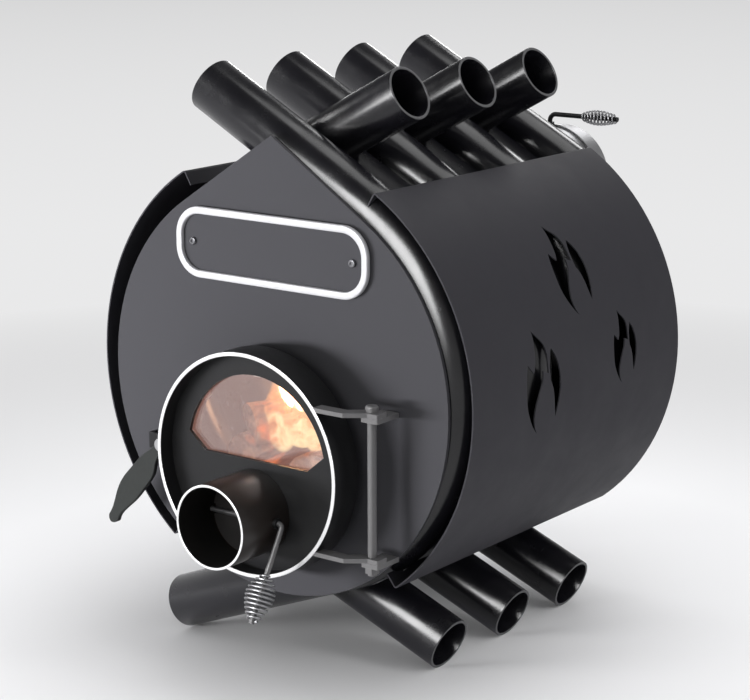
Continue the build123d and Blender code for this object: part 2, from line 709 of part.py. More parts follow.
air_damper_disc = along_y(AIR_DISC_R, AIR_FLAT_Y, AIR_FLAT_Y + DISC_SHEET, z=AIR_PIPE_Z)
air_trim = block(air_flat_half, AIR_DISC_R + 1, AIR_FLAT_Y - 1, AIR_FLAT_Y + DISC_SHEET + 1,
                 AIR_PIPE_Z - ROD_D, AIR_PIPE_Z + ROD_D)
air_damper_disc -= air_trim
air_damper_disc -= mirror(air_trim, Plane.YZ)
air_screws = []
for x in (-AIR_DISC_R / 2, AIR_DISC_R / 2):
    shank = along_y(SMALL_SCREW_D / 2, AIR_SPINDLE_Y - 1, AIR_FLAT_Y + DISC_SHEET, x, AIR_PIPE_Z)
    head = along_y(SMALL_HEAD_D / 2, AIR_FLAT_Y + DISC_SHEET,
                   AIR_FLAT_Y + DISC_SHEET + SMALL_HEAD_H, x, AIR_PIPE_Z)
    air_rod -= shank
    air_damper_disc -= shank
    air_screws.append(shank + head)
rod_hole = along_x(ROD_R + ROD_FIT, -AIR_HANDLE_X, AIR_HANDLE_X, AIR_SPINDLE_Y, AIR_PIPE_Z)
air_bushes = []
for side in (-1, 1):
    bush = along_x(BUSH_OD / 2, 0, AIR_BUSH_OUT, AIR_SPINDLE_Y, AIR_PIPE_Z)
    bush -= along_y(AIR_PIPE_R, AIR_PIPE_FRONT, DISC_FRONT, z=AIR_PIPE_Z)
    bush -= rod_hole
    air_bushes.append(bush if side > 0 else mirror(bush, Plane.YZ))
air_pipe -= rod_hole
air_coil = barrel_coil(
    "air damper grip", AIR_COIL_END - AIR_COIL_START, AIR_COIL_TURNS, AIR_WIRE_D,
    (ROD_R + AIR_WIRE_D / 2 + SEAT_GAP, AIR_COIL_MAX_R, AIR_COIL_END_R, AIR_COIL_PEAK),
)
air_coil = Plane(
    origin=air_corner + AIR_DOWN * AIR_COIL_START, x_dir=(1, 0, 0), z_dir=AIR_DOWN
) * air_coil

# Flue neck and flue damper.
flue_neck = along_y(FLUE_R, REAR_FACE_Y, FLUE_REAR, z=FLUE_Z)
flue_bead = along_y(FLUE_R + FLUE_BEAD_PROUD, FLUE_BEAD_REAR - FLUE_BEAD_WIDTH, FLUE_BEAD_REAR,
                    z=FLUE_Z)
flue_neck += fillet(flue_bead.edges().filter_by(GeomType.CIRCLE), FLUE_BEAD_WIDTH / 4)
flue_neck -= along_y(FLUE_BORE_R, REAR_FACE_Y - 1, FLUE_REAR + 1, z=FLUE_Z)
FLUE_BUSH_OUT = FLUE_R + BUSH_STAND
flue_bush_low = FLUE_Z - FLUE_BUSH_OUT
FLUE_TAIL_Z = flue_bush_low - AXIAL_PLAY
flue_rod = bent_rod(
    (0, FLUE_SPINDLE_Y, FLUE_TAIL_Z),
    (0, FLUE_SPINDLE_Y, FLUE_HANDLE_Z),
    (FLUE_COIL_END + ROD_PAST_COIL, FLUE_SPINDLE_Y, FLUE_HANDLE_Z),
    FLUE_BEND_R,
)
flue_rod += along_z(ROD_HEAD_D / 2, FLUE_TAIL_Z - ROD_HEAD_H, FLUE_TAIL_Z, 0, FLUE_SPINDLE_Y)
flue_collar_z = FLUE_Z + FLUE_BUSH_OUT + AXIAL_PLAY
flue_rod += along_z(ROD_HEAD_D / 2, flue_collar_z, flue_collar_z + ROD_HEAD_H, 0, FLUE_SPINDLE_Y)
FLUE_DISC_R = FLUE_BORE_R - DISC_EDGE_GAP
FLUE_FLAT_Y = FLUE_SPINDLE_Y - ROD_R + FLAT_DEPTH
flue_flat_half = FLUE_DISC_R - FLAT_END
flue_rod -= block(-ROD_D, ROD_D, FLUE_SPINDLE_Y - ROD_R - 1, FLUE_FLAT_Y,
                  FLUE_Z - flue_flat_half, FLUE_Z + flue_flat_half)
flue_damper_disc = along_y(FLUE_DISC_R, FLUE_FLAT_Y - DISC_SHEET, FLUE_FLAT_Y, z=FLUE_Z)
flue_damper_disc -= block(-ROD_D, ROD_D, FLUE_FLAT_Y - DISC_SHEET - 1, FLUE_FLAT_Y + 1,
                          FLUE_Z + flue_flat_half, FLUE_Z + FLUE_DISC_R + 1)
flue_damper_disc -= block(-ROD_D, ROD_D, FLUE_FLAT_Y - DISC_SHEET - 1, FLUE_FLAT_Y + 1,
                          FLUE_Z - FLUE_DISC_R - 1, FLUE_Z - flue_flat_half)
# A quarter of the disc is cut away, so the flue is never closed off.
gas_notch = block(DAMPER_NOTCH_R, FLUE_DISC_R + 1, FLUE_FLAT_Y - DISC_SHEET - 1,
                  FLUE_FLAT_Y + 1, FLUE_Z - FLUE_DISC_R - 1, FLUE_Z - DAMPER_NOTCH_R / 2)
gas_notch = fillet(gas_notch.edges().filter_by(Axis.Y).group_by(Axis.X)[0].sort_by(Axis.Z)[-1], 8)
flue_damper_disc -= gas_notch
flue_screws = []
for z in (FLUE_Z - FLUE_DISC_R / 2, FLUE_Z + FLUE_DISC_R / 2):
    shank = along_y(SMALL_SCREW_D / 2, FLUE_FLAT_Y - DISC_SHEET, FLUE_SPINDLE_Y + 1, 0, z)
    head = along_y(SMALL_HEAD_D / 2, FLUE_FLAT_Y - DISC_SHEET - SMALL_HEAD_H,
                   FLUE_FLAT_Y - DISC_SHEET, 0, z)
    flue_rod -= shank
    flue_damper_disc -= shank
    flue_screws.append(shank + head)
flue_hole = along_z(ROD_R + ROD_FIT, flue_bush_low - 1, flue_collar_z, 0, FLUE_SPINDLE_Y)
flue_bushes = []
for side in (-1, 1):
    bush = along_z(BUSH_OD / 2, FLUE_Z, FLUE_Z + FLUE_BUSH_OUT, 0, FLUE_SPINDLE_Y)
    bush -= along_y(FLUE_R, REAR_FACE_Y, FLUE_REAR + 1, z=FLUE_Z)
    if side < 0:
        bush = mirror(bush, Plane(origin=(0, 0, FLUE_Z), z_dir=(0, 0, 1)))
    flue_bushes.append(bush - flue_hole)
flue_neck -= flue_hole
flue_coil = barrel_coil(
    "flue damper grip", FLUE_COIL_END - FLUE_COIL_START, FLUE_COIL_TURNS, FLUE_WIRE_D,
    (ROD_R + FLUE_WIRE_D / 2 + SEAT_GAP, FLUE_COIL_MAX_R, FLUE_COIL_END_R, FLUE_COIL_PEAK),
)
flue_coil = Plane(
    origin=(FLUE_COIL_START, FLUE_SPINDLE_Y, FLUE_HANDLE_Z), x_dir=(0, 1, 0), z_dir=(1, 0, 0)
) * flue_coil


# Hinge.
def hinge_bar(low_z):
    """Cranked bar from the side of the drum to an eye on the hinge bolt."""
    top = Plane(origin=(0, 0, low_z))
    front = DRUM_FRONT + BAR_INSET
    crank = DRUM_R + BAR_CRANK_OUT
    root = DRUM_R / 2
    arm = make_face(Polyline(
        (root, front), (crank, front), (PIN_X, PIN_Y - EYE_R), (PIN_X + EYE_END, PIN_Y - EYE_R),
        (PIN_X + EYE_END, PIN_Y + EYE_R), (PIN_X - BAR_CRANK_BACK, PIN_Y + EYE_R),
        (crank - BAR_CRANK_BACK, front + BAR_WIDTH), (root, front + BAR_WIDTH), (root, front),
    ))
    bar = extrude(top * arm, BAR_THICK)
    bar = fillet(bar.edges().filter_by(Axis.Z).group_by(Axis.X)[-1], 1.5)
    bar -= along_y(DRUM_R, DRUM_FRONT - 10, DRUM_BACK + 10, z=DOOR_CENTRE_Z)
    bar = largest(bar)
    return bar - along_z(PIN_R + PIN_FIT, low_z - 1, low_z + BAR_THICK + 1, PIN_X, PIN_Y)


def hinge_lug(low_z):
    """Lug welded to the front plate under a hinge bar."""
    lug = block(PIN_X - EYE_R, PIN_X + EYE_END, PIN_Y - EYE_R, 0, low_z, low_z + LUG_THICK)
    lug = fillet(lug.edges().filter_by(Axis.Z).group_by(Axis.Y)[0], 1.5)
    return lug - along_z(PIN_R, low_z - 1, low_z + LUG_THICK + 1, PIN_X, PIN_Y)


hinge_bars = [hinge_bar(TOP_BAR_LOW_Z), hinge_bar(LOW_BAR_LOW_Z)]
lug_lows = [z - BAR_GAP - LUG_THICK for z in (TOP_BAR_LOW_Z, LOW_BAR_LOW_Z)]
hinge_lugs = [hinge_lug(z) for z in lug_lows]
pin_head_z = TOP_BAR_LOW_Z + BAR_THICK + BAR_GAP
hinge_bolt = along_z(PIN_R, lug_lows[1] - PIN_TAIL, pin_head_z, PIN_X, PIN_Y)
bolt_head = along_z(PIN_HEAD_D / 2, pin_head_z, pin_head_z + PIN_HEAD_H, PIN_X, PIN_Y)
bolt_head = fillet(bolt_head.edges().filter_by(GeomType.CIRCLE).group_by(Axis.Z)[-1], 2.5)
hinge_bolt += bolt_head
nut_z = lug_lows[1] - SEAT_GAP
hinge_nut = extrude(
    Plane(origin=(PIN_X, PIN_Y, nut_z - NUT_H)) * RegularPolygon(PIN_HEAD_D / 2, 6, major_radius=False), NUT_H
)
hinge_nut -= along_z(PIN_R, nut_z - 10, nut_z + 1, PIN_X, PIN_Y)

# Latch.
latch_boss = along_y(LATCH_BOSS_OD / 2, LATCH_BOSS_FRONT, LATCH_BOSS_BACK, LATCH_X, LATCH_Z)
latch_boss += block(LATCH_X, -DRUM_R + 6, LATCH_BOSS_FRONT, LATCH_BOSS_BACK,
                    LATCH_Z - LATCH_BOSS_OD / 2, LATCH_Z + LATCH_BOSS_OD / 2)
latch_boss -= along_y(DRUM_R, DRUM_FRONT - 1, DRUM_BACK + 1, z=DOOR_CENTRE_Z)
latch_boss = largest(latch_boss)
latch_boss -= along_y(LATCH_SHAFT_D / 2 + PIN_FIT, LATCH_BOSS_FRONT - 1, LATCH_BOSS_BACK + 1,
                      LATCH_X, LATCH_Z)
latch_shaft = along_y(LATCH_SHAFT_D / 2, LEVER_FRONT, CAM_BACK, LATCH_X, LATCH_Z)
shaft_head = along_y(SHAFT_HEAD_D / 2, LEVER_FRONT - SHAFT_HEAD_H, LEVER_FRONT, LATCH_X, LATCH_Z)
shaft_head = fillet(shaft_head.edges().filter_by(GeomType.CIRCLE).group_by(Axis.Y)[0], 1.2)
latch_shaft += shaft_head
# Leaf outline from the shaft, across then up: an eye, a waist, a broad blade and a drawn tip.
LEAF = [
    [
        (5.4, -5.7), (-1.9, -11.7), (-6.9, -18), (-11, -31.8), (-23, -49.2),
        (-39.5, -67.6), (-57.4, -83.1), (-62, -88.4), (-64.4, -93.9),
    ],
    [(-64.4, -93.9), (-69.7, -97.4), (-75.5, -97.1), (-77.6, -93.4), (-76.6, -87.8)],
    [
        (-76.6, -87.8), (-69, -72.9), (-65.3, -62.3), (-55.9, -45.2), (-42.4, -30.5),
        (-26.1, -14.8), (-13.4, -5.5), (-7.1, 2.4),
    ],
    [(-7.1, 2.4), (-2.9, 7.2), (3.4, 7), (7, 3), (7.7, -1.5), (5.4, -5.7)],
]
latch_lever = slab(Pos(LATCH_X, LATCH_Z) * outline_face(LEAF), LEVER_FRONT, LEVER_BACK)
latch_lever = fillet(latch_lever.edges().group_by(Axis.Y)[0], 1.0)
latch_lever -= along_y(LATCH_SHAFT_D / 2, LEVER_FRONT - 1, LEVER_BACK + 1, LATCH_X, LATCH_Z)
# The finger stands clear above the keeper; turning the lever down brings it behind the lip.
cam_face = Circle(LATCH_SHAFT_D / 2 + 4)
cam_face += Pos(CAM_REACH / 2, 0) * Rectangle(CAM_REACH, CAM_WIDTH)
cam_face += Pos(CAM_REACH, 0) * Circle(CAM_WIDTH / 2)
latch_cam = slab(Pos(LATCH_X, LATCH_Z) * Rot(0, 0, CAM_REST_ANGLE) * cam_face, CAM_FRONT, CAM_BACK)
latch_cam -= along_y(LATCH_SHAFT_D / 2, CAM_FRONT - 1, CAM_BACK + 1, LATCH_X, LATCH_Z)
keeper_wall_x = LATCH_X - CAM_REACH - CAM_WIDTH / 2 - KEEPER_TIP_GAP
keeper_low = LATCH_Z - KEEPER_BELOW
keeper_high = LATCH_Z + KEEPER_ABOVE
latch_keeper = block(keeper_wall_x - KEEPER_LEG, keeper_wall_x, KEEPER_LIP_FRONT, 0,
                     keeper_low, keeper_high)
latch_keeper += block(keeper_wall_x - KEEPER_LEG, LATCH_X - KEEPER_LIP_CLEAR,
                      KEEPER_LIP_FRONT, KEEPER_LIP_BACK,
                      keeper_low, keeper_high)

# Nameplate.
nameplate_outer = RectangleRounded(NAMEPLATE_W, NAMEPLATE_H, NAMEPLATE_CORNER)
field_w = NAMEPLATE_W - 2 * NAMEPLATE_RING
field_h = NAMEPLATE_H - 2 * NAMEPLATE_RING
nameplate_inner = RectangleRounded(field_w, field_h, NAMEPLATE_CORNER - NAMEPLATE_RING)
nameplate_frame = slab(Pos(0, NAMEPLATE_Z) * (nameplate_outer - nameplate_inner), -NAMEPLATE_PROUD, 0)
nameplate_frame = fillet(nameplate_frame.edges().group_by(Axis.Y)[0], 1.8)
nameplate_field = slab(
    Pos(0, NAMEPLATE_Z)
    * RectangleRounded(field_w - SEAT_GAP, field_h - SEAT_GAP, NAMEPLATE_CORNER - NAMEPLATE_RING - SEAT_GAP),
    -NAMEPLATE_FIELD, 0,
)
nameplate_screws = []
for x in (-NAMEPLATE_SCREW_X, NAMEPLATE_SCREW_X):
    head = along_y(NAMEPLATE_HEAD_D / 2, -NAMEPLATE_FIELD - NAMEPLATE_HEAD_H, -NAMEPLATE_FIELD,
                   x, NAMEPLATE_Z)
    head = fillet(head.edges().filter_by(GeomType.CIRCLE).group_by(Axis.Y)[0], 1.2)
    shank = along_y(SMALL_SCREW_D / 2 + 0.5, -NAMEPLATE_FIELD, PLATE_THICK - 0.5, x, NAMEPLATE_Z)
    socket = extrude(
        Plane(origin=(x, -NAMEPLATE_FIELD - NAMEPLATE_HEAD_H, NAMEPLATE_Z), z_dir=(0, 1, 0))
        * RegularPolygon(2.0, 6), 1.4)
    nameplate_field -= shank
    front_plate -= shank
    nameplate_screws.append(head + shank - socket)

# Every node.
nodes = {}
for index, tube in enumerate(tubes_right, 1):
    nodes[f"tube_right_{index}"] = tube
for index, tube in enumerate(tubes_left, 1):
    nodes[f"tube_left_{index}"] = tube
for index, strip in enumerate(webs_right, 1):
    nodes[f"web_right_{index}"] = strip
for index, strip in enumerate(webs_left, 1):
    nodes[f"web_left_{index}"] = strip
nodes.update({
    "front_plate": front_plate,
    "rear_plate": rear_plate,
    "baffle": baffle,
    "injector_nozzles": Compound(children=nozzles),
    "casing_right": casing_right,
    "casing_left": casing_left,
    "door_collar": door_collar,
    "door_drum": door_drum,
    "door_disc": door_disc,
    "door_seal": door_seal,
    "window_glass": window_glass,
    "glass_clips": Compound(children=glass_clips),
    "clip_screws": Compound(children=clip_screws),
    "air_pipe": air_pipe,
    "air_bushes": Compound(children=air_bushes),
    "air_damper_rod": air_rod,
    "air_damper_disc": air_damper_disc,
    "air_damper_screws": Compound(children=air_screws),
    "air_damper_grip": air_coil,
    "flue_neck": flue_neck,
    "flue_bushes": Compound(children=flue_bushes),
    "flue_damper_rod": flue_rod,
    "flue_damper_disc": flue_damper_disc,
    "flue_damper_screws": Compound(children=flue_screws),
    "flue_damper_grip": flue_coil,
    "hinge_bar_top": hinge_bars[0],
    "hinge_bar_low": hinge_bars[1],
    "hinge_lug_top": hinge_lugs[0],
    "hinge_lug_low": hinge_lugs[1],
    "hinge_bolt": hinge_bolt,
    "hinge_nut": hinge_nut,
    "latch_boss": latch_boss,
    "latch_shaft": latch_shaft,
    "latch_lever": latch_lever,
    "latch_cam": latch_cam,
    "latch_keeper": latch_keeper,
    "nameplate_frame": nameplate_frame,
    "nameplate_field": nameplate_field,
    "nameplate_screws": Compound(children=nameplate_screws),
})

SHIFT_Y = -(air_coil.bounding_box().min.Y + FLUE_REAR) / 2
os.makedirs("parts", exist_ok=True)
low = [1e9, 1e9, 1e9]
high = [-1e9, -1e9, -1e9]
for name, shape in nodes.items():
    placed = Pos(0, SHIFT_Y, 0) * shape
    export_step(placed, f"parts/{name}.step")
    box = placed.bounding_box()
    low = [min(a, b) for a, b in zip(low, box.min)]
    high = [max(a, b) for a, b in zip(high, box.max)]
    print(f"{name}: {len(placed.solids())} solids, {placed.volume / 1000:.1f} cm3")
print("nodes", len(nodes), "shift", SHIFT_Y)
print("box", [round(v, 2) for v in low], [round(v, 2) for v in high])
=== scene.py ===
import math

import bpy
from bpy.props import BoolProperty, FloatProperty, FloatVectorProperty, IntProperty, PointerProperty
from mathutils import Matrix, Vector


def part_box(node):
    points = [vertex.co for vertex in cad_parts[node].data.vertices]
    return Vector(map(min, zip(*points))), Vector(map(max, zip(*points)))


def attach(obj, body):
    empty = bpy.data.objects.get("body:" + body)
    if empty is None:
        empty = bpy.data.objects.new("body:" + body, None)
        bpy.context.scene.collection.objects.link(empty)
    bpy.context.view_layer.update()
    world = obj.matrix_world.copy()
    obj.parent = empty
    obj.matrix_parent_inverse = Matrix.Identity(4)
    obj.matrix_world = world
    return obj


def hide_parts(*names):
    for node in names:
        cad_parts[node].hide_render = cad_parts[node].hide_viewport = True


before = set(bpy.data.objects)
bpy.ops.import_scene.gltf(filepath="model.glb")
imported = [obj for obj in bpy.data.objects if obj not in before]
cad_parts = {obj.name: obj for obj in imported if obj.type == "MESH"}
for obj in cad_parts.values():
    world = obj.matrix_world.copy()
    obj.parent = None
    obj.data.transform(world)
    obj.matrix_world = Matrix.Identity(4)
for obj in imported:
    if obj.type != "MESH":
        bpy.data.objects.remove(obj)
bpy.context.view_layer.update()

bl_info = {
    "name": "Convection Wood Stove",
    "version": (1, 0, 0),
    "blender": (4, 5, 0),
    "location": "3D View > Sidebar > Stove",
    "description": "Dresses the packed frame of a convection wood stove and sets its studio",
    "category": "Object",
}

# Places read from the frame, in metres.
PLATE_FACE_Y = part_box("front_plate")[0].y
DOOR_LOW, DOOR_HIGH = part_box("door_drum")
DOOR_CENTRE_Z = (DOOR_LOW.z + DOOR_HIGH.z) / 2
PIPE_LOW, PIPE_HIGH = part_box("air_pipe")
PIPE_CENTRE_Z = (PIPE_LOW.z + PIPE_HIGH.z) / 2
TUBE_LOW, TUBE_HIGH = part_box("tube_right_1")
RIGHT_TUBES = ["tube_right_1", "tube_right_2", "tube_right_3", "tube_right_4"]
LEFT_TUBES = ["tube_left_1", "tube_left_2", "tube_left_3"]

# Modelling values; lengths are in metres and angles in radians.
MM = 0.001
SHARP = math.radians(50)
WELD_REACH = 0.00002
TUBE_SIDES = 72
CUT_END_FACING = 0.9
CUT_END_REACH = 0.07
DOOR_WALL = 0.004
PIPE_WALL = 0.0025
DRUM_RIM_ROUND = 0.0006
RIM_ROUND = 0.0004
COLLAR_CLEARANCE = 0.0002
DRUM_RIM_DEPTH = 0.0007
PIPE_RIM_DEPTH = 0.0005
INSIDE_FACING = -0.01
SIDE_FACING = 0.3
FRAME_CORNER = 0.031
FRAME_BAND = 0.0075
STEPS_PER_TURN = 28
GRIP_REACH = 0.0012
ROPE_THICKNESS = 0.0076

# Rod of the air damper: its slope from upright, the corner that the slope starts from, and how far
# down the slope the grip begins.
AIR_ROD_SLOPE = math.radians(29.6)
AIR_ROD_X, AIR_ROD_DEPTH_MM = 0.052, -52.0
AIR_GRIP_START = 0.0515

# Logs: name, radius, length, X, depth from the plate in millimetres, Z, turn, step in the lumps.
LUMP_STEP = 0.37
LOG_SIDES = 28
LOGS = (
    ("log_low", 0.032, 0.29, -0.012, 205, 0.179, (math.radians(90), 0.4, math.radians(5)), 1),
    ("log_left", 0.030, 0.29, -0.082, 212, 0.188, (math.radians(91), 0.9, math.radians(-4)), 2),
    ("log_right", 0.028, 0.27, 0.056, 200, 0.184, (math.radians(89), 1.9, math.radians(3)), 4),
    ("log_top", 0.026, 0.22, -0.034, 165, 0.228, (math.radians(84), 2.1, math.radians(-38)), 3),
)
# Shares of a log's radius: where it is split, and the size and height of its bark's lumps.
LOG_SPLIT, BARK_LUMP, BARK_HEIGHT = 0.35, 0.55, 0.22
SPLIT_FACING = (1, 0.12, 0.02)
# Ember bed: width, length, depth of its middle in millimetres, height, and its lumps and thickness.
BED_WIDTH, BED_LENGTH, BED_DEPTH_MM, BED_Z = 0.15, 0.28, 240, 0.139
BED_LUMP, BED_LUMP_HEIGHT, BED_THICKNESS = 0.018, 0.022, 0.006
# Flames: name, X, depth in millimetres and Z of the foot, width, height, lean and twist.
FLAMES = (
    ("flame_1", -0.060, 84, 0.205, 0.046, 0.088, 0.5, 1.2),
    ("flame_2", -0.036, 92, 0.212, 0.040, 0.100, -0.5, -0.9),
    ("flame_3", -0.084, 100, 0.205, 0.034, 0.062, 0.7, 1.6),
    ("flame_4", -0.012, 84, 0.212, 0.034, 0.076, -0.7, 0.8),
    ("flame_5", -0.072, 130, 0.212, 0.052, 0.105, 0.4, -1.4),
    ("flame_6", -0.024, 140, 0.225, 0.048, 0.100, 0.8, 0.6),
    ("flame_7", -0.104, 150, 0.215, 0.044, 0.085, -0.6, 1.1),
)
FLAME_FOOT_Z, FLAME_TIP_Z = 0.19, 0.31
# Depth of a flame as a share of its width, its taper, and how far up its height its middle stands.
FLAME_DEPTH, FLAME_TAPER, FLAME_RISE = 0.28, -1.25, 0.42
# Glow of the fire: power, colour, radius, X, depth in millimetres and Z.
GLOW_POWER, GLOW_COLOUR, GLOW_RADIUS = 0.55, (1.0, 0.55, 0.28), 0.03
GLOW_X, GLOW_DEPTH_MM, GLOW_Z = -0.045, 110, 0.27

# Soft boxes: name, place, width and height, power setting, share of it, and the rays that meet it.
LAMP_AIM = (0, 0, 0.3)
SOFT_BOXES = (
    ("key_box", (-1.35, -1.65, 0.13), (0.9, 0.2), "key_power", 1.0, "diffuse"),
    ("side_box", (2.7, 0.2, 1.5), (0.7, 1.8), "side_power", 1.0, "both"),
    ("top_box", (0.3, 0.6, 2.8), (1.8, 1.8), "top_power", 1.0, "both"),
    ("front_strip", (-0.05, -3.0, 1.45), (2.4, 1.6), "gleam_power", 8.0, "glossy"),
    ("left_low", (-1.85, -2.36, 0.33), (0.9, 0.8), "gleam_power", 0.14, "glossy"),
    ("rim_strip", (-1.93, 2.55, 0.8), (1.4, 0.4), "gleam_power", 0.5, "glossy"),
    ("back_box", (-0.55, 2.5, 1.95), (1.0, 0.7), "gleam_power", 0.5, "glossy"),
    ("left_strip", (-3.0, -0.9, 2.1), (1.2, 0.35), "gleam_power", 1.2, "glossy"),
)
FLOOR_SIZE = 120
# From and to how far off the floor turns into the backdrop, and the backdrop darkens as painted
# falloff of light; their levels.
FLOOR_FADE, BACKDROP_FADE = (0.55, 1.7), (2.5, 9.0)
FLOOR_FAR, BACKDROP_FAR = 0.45, 0.84

# Camera: yaw, pitch and roll in degrees, X and Z in metres, depth from the plate in millimetres.
CAMERA_TURN = (37.2003, -13.2433, -0.1793)
CAMERA_X, CAMERA_DEPTH_MM, CAMERA_Z = 1.411788, -1690.645, 0.851477
CAMERA_SENSOR_MM = 36
CAMERA_REACH = 200

# What every colour among the settings shares.
COLOUR = {"size": 3, "subtype": "COLOR", "min": 0, "max": 1}

# Sockets of a mix node: factor, first, second and result.
COLOUR_MIX = (0, 6, 7, 2)
VALUE_MIX = (0, 2, 3, 0)


class StoveSizes(bpy.types.PropertyGroup):
    """Sizes of the pieces that are modelled here."""

    tube_diameter: FloatProperty(
        name="Tube diameter", description="Outside diameter of an air tube",
        default=TUBE_HIGH.y - TUBE_LOW.y, unit="LENGTH")
    tube_wall: FloatProperty(
        name="Tube wall", description="Wall of an air tube", default=0.003, unit="LENGTH")
    bend_radius: FloatProperty(
        name="Bend radius", description="Radius of the bend at the middle of the tube",
        default=0.2032, unit="LENGTH")
    low_angle: FloatProperty(
        name="Lower end of the bend",
        description="Angle below level where the bend meets the lower run",
        default=math.radians(68.5), subtype="ANGLE")
    top_angle: FloatProperty(
        name="Upper end of the bend",
        description="Angle above level where the bend meets the upper run",
        default=math.radians(61.75), subtype="ANGLE")
    low_run: FloatProperty(
        name="Lower run", description="Straight length below the bend", default=0.2455,
        unit="LENGTH")
    top_run: FloatProperty(
        name="Upper run", description="Straight length above the bend", default=0.2265,
        unit="LENGTH")
    bend_steps: IntProperty(
        name="Bend steps", description="Faces along the bend", default=40, min=8, max=96)
    ring_sides: IntProperty(
        name="Sides", description="Faces round the door rings", default=144, min=32, max=256)
    rim_round: FloatProperty(
        name="Rim rounding", description="Rounding of cut rims", default=0.0005, unit="LENGTH")
    frame_round: FloatProperty(
        name="Frame rounding", description="Rounding of the nameplate frame", default=0.0017,
        unit="LENGTH")


class StoveFinishes(bpy.types.PropertyGroup):
    """Colours and surface values of the finishes."""

    enamel: FloatVectorProperty(
        name="Enamel", description="Black enamel of the air tubes and webs",
        default=(0.0060, 0.0058, 0.0080), **COLOUR)
    black: FloatVectorProperty(
        name="Black paint", description="Heat-proof black of the door, collar and small fittings",
        default=(0.0105, 0.0105, 0.0115), **COLOUR)
    plate: FloatVectorProperty(
        name="Plate paint", description="Grey heat-proof paint of the end plates",
        default=(0.052, 0.0515, 0.0575), **COLOUR)
    casing: FloatVectorProperty(
        name="Casing paint", description="Dark grey powder coat of the casings",
        default=(0.0290, 0.0281, 0.0342), **COLOUR)
    hinge: FloatVectorProperty(
        name="Hinge grey", description="Grey of the hinge and of the air damper's rod",
        default=(0.115, 0.113, 0.116), **COLOUR)
    steel: FloatVectorProperty(
        name="Steel", description="Bare steel of the turned rims",
        default=(0.74, 0.74, 0.75), **COLOUR)
    rope: FloatVectorProperty(
        name="Seal rope", description="Knitted glass rope of the door seal",
        default=(0.60, 0.58, 0.53), **COLOUR)
    wear: FloatProperty(
        name="Wear", description="How far the paint is rubbed at edges", default=0.5, min=0, max=1,
        subtype="FACTOR")
    fire: BoolProperty(
        name="Fire", description="Logs and flames behind the window", default=True)


class StoveStudio(bpy.types.PropertyGroup):
    """Floor, lamps and camera."""

    floor: FloatVectorProperty(
        name="Floor", description="Colour of the floor", default=(0.87, 0.87, 0.88), **COLOUR)
    backdrop: FloatVectorProperty(
        name="Backdrop", description="Colour that the camera sees behind the stove",
        default=(0.815, 0.815, 0.82), **COLOUR)
    key_power: FloatProperty(
        name="Key", description="Power of the low soft box at the left of the front", default=72.0,
        unit="POWER")
    side_power: FloatProperty(
        name="Side", description="Power of the tall soft box at the right", default=14.0,
        unit="POWER")
    top_power: FloatProperty(
        name="Top", description="Power of the soft box overhead", default=24.0, unit="POWER")
    gleam_power: FloatProperty(
        name="Gleam", description="Power of the lamps that only gleam on glossy pieces",
        default=30.0, unit="POWER")
    room: FloatProperty(
        name="Room", description="Level of the plain light from all round", default=1.0, min=0)
    front_share: FloatProperty(
        name="Front share", description="How much of the room's light comes from the front",
        default=0.30, min=0, max=1, subtype="FACTOR")
    lens: FloatProperty(
        name="Lens", description="Focal length in millimetres", default=107.64)


# Modelling helpers.

def at_front(y_mm):
    """Place along Y of a depth measured from the front plate's face, in millimetres."""
    return PLATE_FACE_Y + y_mm * MM


def only(piece):
    """Makes one piece the whole selection."""
    if bpy.context.mode != "OBJECT":
        bpy.ops.object.mode_set(mode="OBJECT")
    bpy.ops.object.select_all(action="DESELECT")
    if piece is not None:
        piece.select_set(True)
        bpy.context.view_layer.objects.active = piece


def placed(piece):
    """Puts a piece's place, turn and scale into its mesh."""
    only(piece)
    bpy.ops.object.transform_apply(location=True, rotation=True, scale=True)


def added(name, data):
    """A new object in the scene."""
    piece = bpy.data.objects.new(name, data)
    bpy.context.scene.collection.objects.link(piece)
    return piece


def opened(selecting=None):
    """Enters edit mode with everything selected."""
    bpy.ops.object.mode_set(mode="EDIT")
    if selecting:
        bpy.ops.mesh.select_mode(type=selecting)
    bpy.ops.mesh.select_all(action="SELECT")


def closed():
    """Leaves edit mode."""
    bpy.ops.object.mode_set(mode="OBJECT")


def started(name):
    """Names the primitive that was just added and puts its place into its mesh."""
    piece = bpy.context.active_object
    piece.name = name
    piece.data.name = name
    placed(piece)
    return piece


def modified(piece, kind, **settings):
    """Adds a modifier and applies it."""
    modifier = piece.modifiers.new(kind, kind)
    for key, value in settings.items():
        setattr(modifier, key, value)
    only(piece)
    bpy.ops.object.modifier_apply(modifier=modifier.name)


def thickened(piece, wall):
    """Gives a skin its wall, inwards."""
    modified(piece, "SOLIDIFY", thickness=wall, offset=-1, use_even_offset=True)


def rounded(piece, width, segments):
    """Rounds the sharp edges."""
    modified(piece, "BEVEL", width=width, segments=segments, limit_method="ANGLE",
             angle_limit=SHARP)


def smooth(piece, degrees=32):
    """Smooth shading that breaks at edges sharper than an angle."""
    only(piece)
    bpy.ops.object.shade_smooth_by_angle(angle=math.radians(degrees))


def copied(piece, name, move):
    """A copy with its own mesh, moved."""
    copy = piece.copy()
    copy.data = piece.data.copy()
    copy.name = name
    copy.data.name = name
    bpy.context.scene.collection.objects.link(copy)
    copy.location = move
    placed(copy)
    return copy


def painted_faces(piece, paint, test):
    """Gives the faces that pass a test a finish of their own."""
    piece.data.materials.append(paint)
    index = len(piece.data.materials) - 1
    for face in piece.data.polygons:
        if test(face):
            face.material_index = index


def finish_piece(piece, paint, body, slot, *nodes):
    """Gives a piece its first finish and its body, and hides the CAD nodes that it stands in for.
    """
    piece.data.materials.clear()
    piece.data.materials.append(paint)
    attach(piece, body)
    if nodes:
        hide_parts(*nodes)


